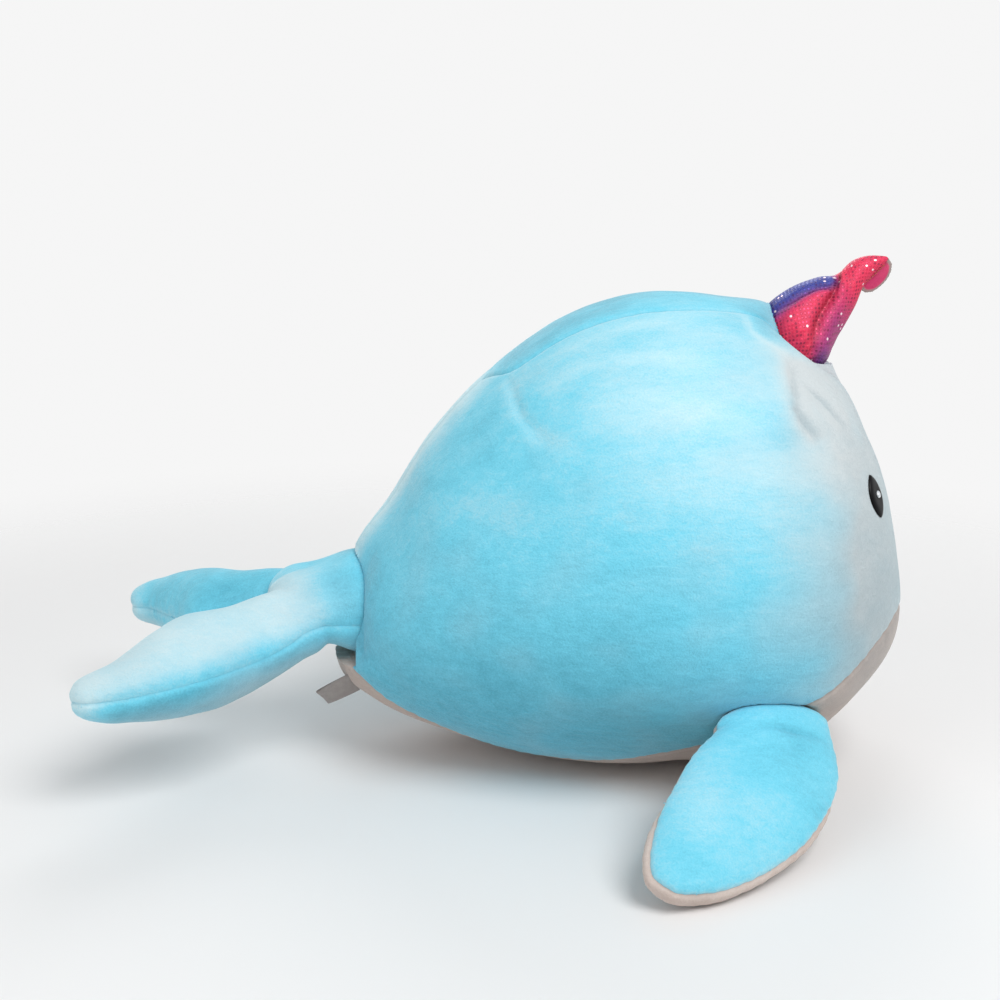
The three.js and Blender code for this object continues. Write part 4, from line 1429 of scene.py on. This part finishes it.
# %% Care label
LABEL_WIDTH, LABEL_LENGTH, LABEL_THICKNESS = 15.0, 17.0, 0.22
LABEL_COLUMNS, LABEL_STEPS = 19, 44
LABEL_CURL = 1.4
LABEL_LOOP = [[-1.0, 0.28], [3, 0.34], [7, 0.42], [11, 0.52], [14, 0.60], [15.8, 0.60],
              [16.7, 0.38], [17.0, 0.0], [16.7, -0.34], [15.8, -0.50], [14, -0.48], [11, -0.42],
              [7, -0.36], [3, -0.30], [-1.0, -0.26]]

label_place = hinge_place("label")
label_axes = local_axes(joint_of["label"]["axis"], [-1, 0, -0.5])


def care_label():
    across = np.linspace(-LABEL_WIDTH / 2, LABEL_WIDTH / 2, LABEL_COLUMNS)
    loop = smooth_line(LABEL_LOOP)(np.linspace(0, 1, LABEL_STEPS))
    mesh = bpy.data.meshes.new("care_label_tape")
    edge = [(i, i + 1) for i in range(LABEL_COLUMNS - 1)]
    mesh.from_pydata([(x, *loop[0]) for x in across], edge, [])
    label = bpy.data.objects.new("care_label_tape", mesh)
    bpy.context.scene.collection.objects.link(label)
    activate(label)
    bpy.ops.object.mode_set(mode="EDIT")
    bpy.ops.mesh.select_all(action="SELECT")
    for here, there in zip(loop, loop[1:]):
        bpy.ops.mesh.extrude_region_move(TRANSFORM_OT_translate={"value": (0, *(there - here))})
    bpy.ops.object.mode_set(mode="OBJECT")
    flat = raw_points(label)
    x, y, z = flat.T
    unroll(label, "tape", np.stack([x, y + np.where(z < 0, 40, 0)], 1))
    curl = LABEL_CURL * (y / LABEL_LENGTH) ** 2 * np.sin(x / 5.5 + 0.6)
    put_places(label, placed(flat + np.outer(curl, [0, 0, 1]), label_place, label_axes))
    give_thickness(label, LABEL_THICKNESS)
    return label


label_piece = care_label()
print("label box", places_of(label_piece).min(0).round(1), places_of(label_piece).max(0).round(1))

# %% [markdown]
# ## Stuffing
# Below its cloth the toy is full of loose fibre. Nobody sees it, but the part is built as the
# real thing is, so each pillow has its own stuffing, a little smaller than its cloth. Its
# points are drawn in along their normals until they lie below the cloth.

# %% Stuffing
CLOTH = 2.6
CLOTH_GAP = 0.5
DEEPEST = 11.0
TAIL_CLEAR = 5.0
FLUKE_STUFFING_STARTS = 0.2
BODY_RINGS, BODY_SECTORS = 46, 48
LIMB_RINGS, LIMB_SECTORS = 30, 28
# The horn's stuffing: where it starts, how long it is and its share of the sleeve's width.
CORE_FOOT, CORE_LENGTH, CORE_SHARE = -12, 64, 0.62


def under_cloth(places, inward, *panels):
    """Draws a stuffing's points in wherever the inner side of its cloth lies closer."""
    tree = tree_of(*panels)
    drawn = []
    for place, direction in zip(places, inward):
        deep = place + direction * DEEPEST
        distance = tree.ray_cast(Vector(deep), Vector(-direction), DEEPEST + CLOTH)[3]
        room = DEEPEST if distance is None else min(DEEPEST, distance - CLOTH_GAP)
        drawn.append(deep - direction * max(room, 0))
    return np.array(drawn)


def stuffing_of(name, places, rings, sectors):
    """A closed form from rings of points, drawn to one point at each end."""
    places[:sectors] = places[:sectors].mean(0)
    places[-sectors:] = places[-sectors:].mean(0)
    stuffing = new_piece(name, places, grid_faces(rings, sectors, closed=True))
    merge_doubles(stuffing)
    face_outwards(stuffing)
    bpy.ops.object.shade_smooth()
    return stuffing


def body_stuffing():
    share = np.linspace(0.004, 0.996, BODY_RINGS)[:, None]
    angle = np.linspace(0, 2 * np.pi, BODY_SECTORS, endpoint=False)[None, :]
    places = on_body(share, angle).reshape(-1, 3)
    normals = outward_at(share + 0 * angle, angle + 0 * share).reshape(-1, 3)
    shaped = places - normals * (CLOTH + 0.5 * wave(places, 14, 51.0) + 0.5)[:, None]
    for root in (flipper_root, left_flipper_root, horn_root):
        shaped = root.press(shaped, normals)
    shaped = tuck_behind_tail(shaped)
    shaped[:, 2] = np.maximum(shaped[:, 2], CLOTH)
    shaped = under_cloth(shaped, -normals, right_side, left_side, gusset, belly)
    shaped = tuck_behind_tail(shaped, TAIL_CLEAR)
    return stuffing_of("body_stuffing", shaped, BODY_RINGS, BODY_SECTORS)


def limb_stuffing(name, form, place, axes, mirror=1, first=0.0, panels=()):
    share = np.linspace(first, 1, LIMB_RINGS)[:, None]
    angle = np.linspace(0, 2 * np.pi, LIMB_SECTORS, endpoint=False)[None, :]
    local = form.skin(share, angle).reshape(-1, 3)
    outward = form.outward(share + 0 * angle, angle + 0 * share).reshape(-1, 3)
    places = placed(local - outward * CLOTH, place, axes) * [1, mirror, 1]
    if panels:
        places = under_cloth(places, -(outward @ axes.T) * [1, mirror, 1], *panels)
    return stuffing_of(name, places, LIMB_RINGS, LIMB_SECTORS)


class HornCore:
    """The horn's stuffing, described as a limb is. It is slim enough to need no drawing in."""

    def skin(self, share, angle):
        height = CORE_FOOT + CORE_LENGTH * np.asarray(share, float) + 0 * angle
        middle = (horn_front(height) + horn_rear(height)) / 2
        half = (horn_front(height) - horn_rear(height)) / 2
        return np.stack([CORE_SHARE * horn_side(height) * np.cos(angle), height,
                         middle - CORE_SHARE * half * np.sin(angle)], -1)

    def outward(self, share, angle):
        return np.zeros(np.broadcast(share, angle).shape + (3,))


tail_cloth = tail_panels.values()
stuffing_pieces = {
    "body": body_stuffing(),
    "horn": limb_stuffing("horn_stuffing", HornCore(), horn_place, horn_axes),
    "tail": limb_stuffing("tail_stuffing", tail_form, tail_place, tail_axes, panels=tail_cloth)}
for side_name, mirror, flipper_cloth in (("right", 1, (right_flipper_top, right_flipper_under)),
                                         ("left", -1, (left_flipper_top, left_flipper_under))):
    stuffing_pieces[side_name + "_flipper"] = limb_stuffing(
        side_name + "_flipper_stuffing", flipper_form, flipper_place, flipper_axes, mirror,
        panels=flipper_cloth)
for side_name, mirror in (("right", 1), ("left", -1)):
    stuffing_pieces[side_name + "_fluke"] = limb_stuffing(
        side_name + "_fluke_stuffing", fluke_form, fluke_place, fluke_axes, mirror,
        first=FLUKE_STUFFING_STARTS, panels=tail_cloth)
print("stuffings:", ", ".join(stuffing_pieces))

# %% [markdown]
# ## Helpers for shader nodes
# A material is a small program of nodes. These helpers make one node in one line, give a
# constant to a socket or link another node to it, and read the paint on the points.

# %% Node helpers
def linear(red, green, blue):
    """A screen colour from 0 to 255 as the shader wants it."""
    def channel(value):
        value /= 255
        return value / 12.92 if value <= 0.04045 else ((value + 0.055) / 1.055) ** 2.4
    return (channel(red), channel(green), channel(blue), 1.0)


def group_of(name, inputs, outputs):
    group = bpy.data.node_groups.new(name, "ShaderNodeTree")
    for socket, kind, value in inputs:
        made = group.interface.new_socket(socket, in_out="INPUT", socket_type=kind)
        if value is not None:
            made.default_value = value
    for socket, kind in outputs:
        group.interface.new_socket(socket, in_out="OUTPUT", socket_type=kind)
    return group, group.nodes.new("NodeGroupInput"), group.nodes.new("NodeGroupOutput")


def node(tree, kind, inputs=None, **settings):
    """A new node. Each input is either another node's output or a constant."""
    made = tree.nodes.new(kind)
    for key, value in settings.items():
        setattr(made, key, value)
    for key, value in (inputs or {}).items():
        if isinstance(value, bpy.types.NodeSocket):
            tree.links.new(value, made.inputs[key])
        else:
            made.inputs[key].default_value = value
    return made


def math_node(tree, operation, *values, clamp=False):
    inputs = dict(enumerate(values))
    made = node(tree, "ShaderNodeMath", inputs, operation=operation, use_clamp=clamp)
    return made.outputs[0]


def mix_colour(tree, share, first, second, blend="MIX"):
    # The mix node has a set of sockets for each kind of data. These are its colour sockets.
    inputs = {0: share, 6: first, 7: second}
    made = node(tree, "ShaderNodeMix", inputs, data_type="RGBA", blend_type=blend)
    return made.outputs[2]


def painted(tree, name):
    return node(tree, "ShaderNodeAttribute", attribute_name=name).outputs["Fac"]


def noise_node(tree, place, scale, detail, **inputs):
    settings = {"Vector": place, "Scale": scale, "Detail": detail}
    return node(tree, "ShaderNodeTexNoise", settings | inputs)


def link_all(tree, sources, target):
    """Links each source to the target's input of that name."""
    for name, source in sources.items():
        tree.links.new(source, target.inputs[name])


# %% [markdown]
# ## Plush
# Short plush is a mat of fine fibres. Seen close it is grainy, and each fibre catches light at its
# tip, so it looks paler at the edge of a form. The group mixes five colours by the paint on the
# points, adds the grain, and gives the pile's bump. Besides the pile's own lean, that paint holds
# painted light: the pale colour serves as painted highlight, the deep colour and a shaded copy of the
# grey as painted shade, and the seam colour as painted shade in the seams' grooves. The sheen is set
# on each shader itself.

# %% Plush group
def make_plush_group():
    colour, value = "NodeSocketColor", "NodeSocketFloat"
    group, given, result = group_of(
        "plush_lean_and_painted_light",
        [("Base", colour, None), ("Pale", colour, None), ("Deep", colour, None),
         ("Grey", colour, None), ("Seam", colour, None), ("Pile Length", value, 1.0)],
        [("Color", colour), ("Roughness", value), ("Normal", "NodeSocketVector")])
    place = node(group, "ShaderNodeTexCoord").outputs["Object"]
    combed = node(group, "ShaderNodeMapping", {"Vector": place, "Scale": (0.4, 1, 1)}).outputs[0]
    tuft = noise_node(group, combed, 300.0, 3.0, Roughness=0.6)
    hair = noise_node(group, place, 1100.0, 2.0, Roughness=0.7)
    clump = noise_node(group, combed, 60.0, 2.0, Roughness=0.5)
    grain = math_node(group, "SUBTRACT", tuft.outputs["Fac"], 0.5)
    fine = math_node(group, "SUBTRACT", hair.outputs["Fac"], 0.5)
    patch = math_node(group, "SUBTRACT", clump.outputs["Fac"], 0.5)
    lean = math_node(group, "MULTIPLY_ADD", grain, 0.55, painted(group, "pale"))
    lean = math_node(group, "MULTIPLY_ADD", fine, 0.8, lean)
    lean = math_node(group, "MULTIPLY_ADD", patch, 0.22, lean)
    # Painted highlight and painted shade ride on the same lean: high towards the pale colour, low
    # towards the deep one.
    paler = math_node(group, "MULTIPLY", lean, 0.95, clamp=True)
    deeper = math_node(group, "MULTIPLY", lean, -0.95, clamp=True)
    shade = mix_colour(group, paler, given.outputs["Base"], given.outputs["Pale"])
    shade = mix_colour(group, deeper, shade, given.outputs["Deep"])
    grey_share = math_node(group, "MULTIPLY_ADD", patch, 0.2, painted(group, "grey"), clamp=True)
    # Painted shade: where the paint is low the grey turns to a darker, shaded copy of itself, mostly
    # on the lower face.
    level = math_node(group, "MULTIPLY_ADD", lean, 0.9, 0.62, clamp=True)
    shadow = (0.66, 0.72, 0.75, 1)
    shaded_grey = mix_colour(group, 1.0, given.outputs["Grey"], shadow, blend="MULTIPLY")
    grey = mix_colour(group, level, shaded_grey, given.outputs["Grey"])
    shade = mix_colour(group, grey_share, shade, grey)
    # Painted shade: the colour turns to the darker seam colour in each seam's groove.
    groove = math_node(group, "POWER", painted(group, "near_seam"), 6.0)
    groove = math_node(group, "MULTIPLY", groove, 0.4, clamp=True)
    shade = mix_colour(group, groove, shade, given.outputs["Seam"])
    height = math_node(group, "MULTIPLY_ADD", fine, 0.5, grain)
    height = math_node(group, "MULTIPLY", height, given.outputs["Pile Length"])
    bump = node(group, "ShaderNodeBump", {"Strength": 0.4, "Distance": 0.0012, "Height": height})
    rough = math_node(group, "MULTIPLY_ADD", grain, 0.2, 0.9, clamp=True)
    link_all(group, {"Color": shade, "Roughness": rough, "Normal": bump.outputs["Normal"]}, result)
    return group


plush_group = make_plush_group()


def new_material(name):
    material = bpy.data.materials.new(name)
    material.use_nodes = True
    shader = material.node_tree.nodes["Principled BSDF"]
    return material, material.node_tree, shader


def plush(name, base, pale, deep, grey, seam, sheen_tint, sheen):
    material, tree, shader = new_material(name)
    grouped = node(tree, "ShaderNodeGroup", node_tree=plush_group)
    colours = {"Base": base, "Pale": pale, "Deep": deep, "Grey": grey, "Seam": seam}
    for socket, colour in colours.items():
        grouped.inputs[socket].default_value = linear(*colour)
    link_all(tree, {"Base Color": grouped.outputs["Color"], "Roughness": grouped.outputs["Roughness"],
                    "Normal": grouped.outputs["Normal"]}, shader)
    shader.inputs["Sheen Weight"].default_value = sheen
    shader.inputs["Sheen Roughness"].default_value = 0.45
    shader.inputs["Sheen Tint"].default_value = linear(*sheen_tint)
    shader.inputs["Specular IOR Level"].default_value = 0.15
    return material


# The seam colour is painted shade for the grooves; the pale and deep colours also serve as painted
# highlight and painted shade.
blue_plush = plush(
    "blue_plush", base=(116, 210, 234), pale=(200, 232, 240), deep=(64, 146, 170),
    grey=(200, 207, 209), seam=(96, 182, 206), sheen_tint=(225, 245, 250), sheen=0.5)
cream_plush = plush(
    "cream_plush", base=(200, 183, 174), pale=(224, 213, 206), deep=(172, 151, 141),
    grey=(192, 180, 174), seam=(160, 138, 128), sheen_tint=(246, 240, 234), sheen=0.3)
print("plush materials:", blue_plush.name, cream_plush.name)

# %% [markdown]
# ## Foil-dotted cloth
# The horn's cloth is a knit with small foil dots in even rows. The dots lie on the flat cloth, so they
# follow the piece's own UV map. A few dots are painted near white, as a painted reflection of the
# light, and some are painted dark, as facing away; one random number for each dot decides.

# %% Foil
def make_foil_group():
    colour, value = "NodeSocketColor", "NodeSocketFloat"
    group, given, result = group_of(
        "foil_dots", [("Cloth", colour, None), ("Thread", colour, None), ("Pitch", value, 2.0)],
        [("Color", colour), ("Dot", value), ("Roughness", value), ("Normal", "NodeSocketVector")])
    flat = node(group, "ShaderNodeTexCoord").outputs["UV"]
    turned = node(group, "ShaderNodeMapping", {"Vector": flat, "Rotation": (0, 0, math.radians(45))})
    size = math_node(group, "DIVIDE", 1.0, given.outputs["Pitch"])
    rows = node(group, "ShaderNodeTexVoronoi",
                {"Vector": turned.outputs[0], "Scale": size, "Randomness": 0.0},
                voronoi_dimensions="2D")
    dot = node(group, "ShaderNodeMapRange", {
        "Value": rows.outputs["Distance"], "From Min": 0.26, "From Max": 0.38, "To Min": 1.0,
        "To Max": 0.0})
    luck = node(group, "ShaderNodeSeparateColor", {"Color": rows.outputs["Color"]})
    knit = noise_node(group, flat, 2.6, 2.0)
    # Painted reflection: bright dots are painted near white, and dark dots are painted darker.
    bright = math_node(group, "GREATER_THAN", luck.outputs[0], 0.95)
    dark = math_node(group, "LESS_THAN", luck.outputs[1], 0.42)
    painted_sparkle = math_node(group, "MULTIPLY", bright, dot.outputs[0])
    painted_dark_dot = math_node(group, "MULTIPLY", dark, dot.outputs[0])
    painted_dark_dot = math_node(group, "MULTIPLY", painted_dark_dot, 0.62)
    shaded = mix_colour(group, painted_dark_dot, given.outputs["Cloth"], (0.06, 0.004, 0.03, 1))
    weave = math_node(group, "MULTIPLY_ADD", knit.outputs["Fac"], 0.5, -0.12, clamp=True)
    woven = mix_colour(group, weave, shaded, given.outputs["Thread"])
    final = mix_colour(group, painted_sparkle, woven, (1, 0.78, 0.84, 1))
    height = math_node(group, "MULTIPLY_ADD", knit.outputs["Fac"], 0.35, dot.outputs[0])
    bump = node(group, "ShaderNodeBump", {"Strength": 0.5, "Distance": 0.0003, "Height": height})
    rough = math_node(group, "MULTIPLY_ADD", dot.outputs[0], -0.22, 0.6)
    link_all(group, {"Color": final, "Dot": dot.outputs[0], "Roughness": rough,
                     "Normal": bump.outputs["Normal"]}, result)
    return group


def foil_cloth():
    material, tree, shader = new_material("pink_foil_cloth")
    place = node(tree, "ShaderNodeTexCoord").outputs["Object"]
    mottle = noise_node(tree, place, 110.0, 2.0)
    red = mix_colour(tree, mottle.outputs["Fac"], linear(216, 16, 58), linear(212, 36, 88))
    cloth = mix_colour(tree, painted(tree, "purple"), red, linear(148, 42, 114))
    cloth = mix_colour(tree, painted(tree, "blue"), cloth, linear(44, 50, 134))
    # Painted shade: the cloth darkens to deep red in the folds.
    fold_shade = math_node(tree, "MULTIPLY", painted(tree, "deep"), 0.75)
    cloth = mix_colour(tree, fold_shade, cloth, linear(130, 4, 34))
    thread = mix_colour(tree, painted(tree, "blue"), linear(243, 96, 124), linear(70, 96, 190))
    dots = node(tree, "ShaderNodeGroup", {"Cloth": cloth, "Thread": thread, "Pitch": 1.95},
                node_tree=make_foil_group())
    final = mix_colour(tree, painted(tree, "raw"), dots.outputs["Color"], linear(150, 134, 130))
    shine = math_node(tree, "MULTIPLY", dots.outputs["Dot"], 0.45)
    link_all(tree, {"Base Color": final, "Roughness": dots.outputs["Roughness"],
                    "Normal": dots.outputs["Normal"], "Metallic": shine}, shader)
    return material


foil_material = foil_cloth()
print("foil material:", foil_material.name)

# %% [markdown]
# ## Threads, tape and fibre
# Satin stitch is a row of parallel shiny threads. The label is thin woven tape, and the
# stuffing is white crimped fibre.

# %% Threads, tape and fibre
def make_thread_group():
    colour, value = "NodeSocketColor", "NodeSocketFloat"
    group, given, result = group_of(
        "parallel_threads",
        [("Base", colour, None), ("Gap", colour, None), ("Threads", value, 2.2),
         ("Turn", value, 0.0)],
        [("Color", colour), ("Roughness", value), ("Normal", "NodeSocketVector")])
    flat = node(group, "ShaderNodeTexCoord").outputs["UV"]
    swing = noise_node(group, flat, 0.5, 1.0)
    split = node(group, "ShaderNodeSeparateXYZ", {"Vector": flat})
    cosine = math_node(group, "COSINE", given.outputs["Turn"])
    sine = math_node(group, "SINE", given.outputs["Turn"])
    side = math_node(group, "MULTIPLY", split.outputs["X"], cosine)
    rise = math_node(group, "MULTIPLY", split.outputs["Y"], sine)
    across = math_node(group, "ADD", side, rise)
    across = math_node(group, "MULTIPLY_ADD", swing.outputs["Fac"], 0.6, across)
    pace = math_node(group, "MULTIPLY", given.outputs["Threads"], 2 * math.pi)
    turns = math_node(group, "MULTIPLY", across, pace)
    ridge = math_node(group, "MULTIPLY_ADD", math_node(group, "SINE", turns), 0.5, 0.5)
    round_ridge = math_node(group, "POWER", ridge, 0.6)
    # Painted shade: the colour darkens to the gap colour between the threads.
    shade = mix_colour(group, round_ridge, given.outputs["Gap"], given.outputs["Base"])
    bump = node(group, "ShaderNodeBump", {"Strength": 0.8, "Distance": 0.00022, "Height": round_ridge})
    rough = math_node(group, "MULTIPLY_ADD", swing.outputs["Fac"], 0.25, 0.25)
    link_all(group, {"Color": shade, "Roughness": rough, "Normal": bump.outputs["Normal"]}, result)
    return group


thread_group = make_thread_group()


def threads(name, base, gap, count, turn, shine=0.5):
    """Parallel threads: count of them to a millimetre, turned by an angle."""
    material, tree, shader = new_material(name)
    inputs = {"Base": linear(*base), "Gap": linear(*gap), "Threads": count, "Turn": turn}
    grouped = node(tree, "ShaderNodeGroup", inputs, node_tree=thread_group)
    link_all(tree, {"Base Color": grouped.outputs["Color"], "Roughness": grouped.outputs["Roughness"],
                    "Normal": grouped.outputs["Normal"]}, shader)
    shader.inputs["Specular IOR Level"].default_value = shine
    return material


# Each gap colour is painted shade between the threads.
black_satin = threads("black_satin_stitch", base=(12, 12, 15), gap=(3, 3, 4), count=2.2,
                      turn=math.radians(90), shine=0.12)
white_satin = threads("white_satin_stitch", base=(238, 240, 242), gap=(176, 184, 190),
                      count=2.6, turn=0.0)
gold_thread = threads("gold_thread", base=(232, 146, 92), gap=(150, 60, 44), count=3.0,
                      turn=0.6)


def woven_tape():
    material, tree, shader = new_material("grey_woven_tape")
    flat = node(tree, "ShaderNodeTexCoord").outputs["UV"]
    split = node(tree, "ShaderNodeSeparateXYZ", {"Vector": flat})
    warp = math_node(tree, "SINE", math_node(tree, "MULTIPLY", split.outputs["X"], 9.0))
    weft = math_node(tree, "SINE", math_node(tree, "MULTIPLY", split.outputs["Y"], 9.0))
    weave = math_node(tree, "MULTIPLY", warp, weft)
    stain = noise_node(tree, flat, 0.3, 3.0)
    base = mix_colour(tree, stain.outputs["Fac"], linear(150, 140, 136), linear(188, 180, 176))
    between = math_node(tree, "MULTIPLY_ADD", weave, 0.25, 0.25, clamp=True)
    shade = mix_colour(tree, between, base, linear(112, 102, 100))
    bump = node(tree, "ShaderNodeBump", {"Strength": 0.4, "Distance": 0.00015, "Height": weave})
    link_all(tree, {"Base Color": shade, "Normal": bump.outputs["Normal"]}, shader)
    shader.inputs["Roughness"].default_value = 0.45
    return material


def fibre():
    material, tree, shader = new_material("white_fibre")
    place = node(tree, "ShaderNodeTexCoord").outputs["Object"]
    curl = noise_node(tree, place, 160.0, 4.0, Distortion=1.5).outputs["Fac"]
    shade = mix_colour(tree, curl, linear(205, 205, 205), linear(242, 242, 242))
    bump = node(tree, "ShaderNodeBump", {"Strength": 0.8, "Distance": 0.002, "Height": curl})
    link_all(tree, {"Base Color": shade, "Normal": bump.outputs["Normal"]}, shader)
    shader.inputs["Roughness"].default_value = 0.95
    return material


tape_material, fibre_material = woven_tape(), fibre()

# %% [markdown]
# ## Dressing the frame
# Each piece gets its material. It rides on its solid's body, and that solid is hidden.

# %% Dressing
def dress(piece, material, body=None, nodes=()):
    piece.data.materials.clear()
    piece.data.materials.append(material)
    if nodes:
        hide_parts(*nodes)
    if body:
        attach(piece, body)


dress(right_side, blue_plush, "root", ["right_side_panel"])
dress(left_side, blue_plush, "root", ["left_side_panel"])
dress(gusset, blue_plush, "root", ["crown_gusset"])
dress(belly, cream_plush, "root", ["belly_panel"])
for side_name, pad, glint in (("right", right_eye, right_glint), ("left", left_eye, left_glint)):
    dress(pad, black_satin, "root", [side_name + "_eye"])
    dress(glint, white_satin, "root", [side_name + "_eye_highlight"])
for side_name, top, under in (("right", right_flipper_top, right_flipper_under),
                              ("left", left_flipper_top, left_flipper_under)):
    body = side_name + "_flipper"
    dress(top, blue_plush, body, [body + "_top"])
    dress(under, cream_plush, body, [body + "_underside"])
dress(horn_sleeve_piece, foil_material, "horn", ["horn_sleeve"])
dress(tab_piece, foil_material, "horn", ["horn_tip_tab"])
dress(stitches_piece, gold_thread, "horn")
dress(label_piece, tape_material, "label", ["care_label"])
for name, stuffing in stuffing_pieces.items():
    body = "root" if name == "body" else name
    dress(stuffing, fibre_material, body, [name + "_filling"])

# %% [markdown]
# ## Dressing the tail
# Each half of the tail is one cloth over two bodies, the stock and its fluke. Each panel gets its
# material, its solids are hidden, and its place is baked into its points.

# %% Dressing the tail
for (side_name, level), panel in tail_panels.items():
    solid = "upper" if level == "upper" else "lower"
    dress(panel, blue_plush, None, [f"{side_name}_fluke_{solid}_panel"])
    if side_name == "right":
        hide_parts(f"tail_{solid}_panel")
    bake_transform(panel)

# %% [markdown]
# ## Floor and light
# The toy lies on a plain pale floor. A soft key from above and ahead shows its roundness,
# and an even sky fills the shadows, at a level where each colour comes out as written.

# %% Floor and light
FLOOR_SIZE = 8.0
FADE_FROM, FADE_TO = 0.32, 0.75
# Each light: its place, its size and its power.
LIGHTS = {"key": ((0.55, -0.85, 1.25), 0.9, 15.0), "fill": ((-1.1, -0.7, 0.8), 1.2, 4.0),
          "rim": ((0.2, 1.3, 1.1), 1.0, 7.0)}
LIT_PLACE = Vector((0, 0, 0.1))
# How bright the sky is where it lights the toy, and where the camera sees it.
SKY_LEVEL, SEEN_LEVEL = 0.42, 0.92

bpy.ops.object.select_all(action="DESELECT")
bpy.ops.mesh.primitive_plane_add(size=FLOOR_SIZE, location=(0, 0, 0))
floor = bpy.context.object
floor.name = "floor"
floor_material, floor_tree, floor_shader = new_material("pale_floor")
floor_shader.inputs["Base Color"].default_value = linear(236, 236, 236)
floor_shader.inputs["Roughness"].default_value = 0.9
floor.data.materials.append(floor_material)
# Far from the toy the camera looks through the floor, so that no horizon shows.
floor_place = node(floor_tree, "ShaderNodeTexCoord").outputs["Object"]
away = node(floor_tree, "ShaderNodeVectorMath", {0: floor_place}, operation="LENGTH").outputs["Value"]
fade = node(floor_tree, "ShaderNodeMapRange",
            {"Value": away, "From Min": FADE_FROM, "From Max": FADE_TO},
            interpolation_type="SMOOTHSTEP").outputs["Result"]
looked_at = node(floor_tree, "ShaderNodeLightPath").outputs["Is Camera Ray"]
clear = node(floor_tree, "ShaderNodeBsdfTransparent")
see_through = math_node(floor_tree, "MULTIPLY", fade, looked_at)
faded = node(floor_tree, "ShaderNodeMixShader",
             {0: see_through, 1: floor_shader.outputs[0], 2: clear.outputs[0]})
floor_tree.links.new(faded.outputs[0], floor_tree.nodes["Material Output"].inputs["Surface"])


def soft_light(name, place, size, power):
    lamp = bpy.data.lights.new(name, "AREA")
    lamp.shape = "DISK"
    lamp.size = size
    lamp.energy = power
    holder = bpy.data.objects.new(name, lamp)
    bpy.context.scene.collection.objects.link(holder)
    holder.location = place
    holder.rotation_euler = (LIT_PLACE - Vector(place)).to_track_quat("-Z", "Y").to_euler()


for name, (place, size, power) in LIGHTS.items():
    soft_light(name, place, size, power)

world = bpy.data.worlds.new("even_sky")
bpy.context.scene.world = world
world.use_nodes = True
sky = world.node_tree
background = sky.nodes["Background"]
background.inputs["Color"].default_value = (1, 1, 1, 1)
seen = node(sky, "ShaderNodeLightPath")
shown = math_node(sky, "ADD", seen.outputs["Is Camera Ray"], seen.outputs["Is Glossy Ray"], clamp=True)
shown = math_node(sky, "ADD", shown, seen.outputs["Is Transmission Ray"], clamp=True)
strength = math_node(sky, "MULTIPLY_ADD", shown, SEEN_LEVEL - SKY_LEVEL, SKY_LEVEL)
sky.links.new(strength, background.inputs["Strength"])
bpy.context.scene.view_settings.view_transform = "Standard"
print("sky level", SKY_LEVEL)
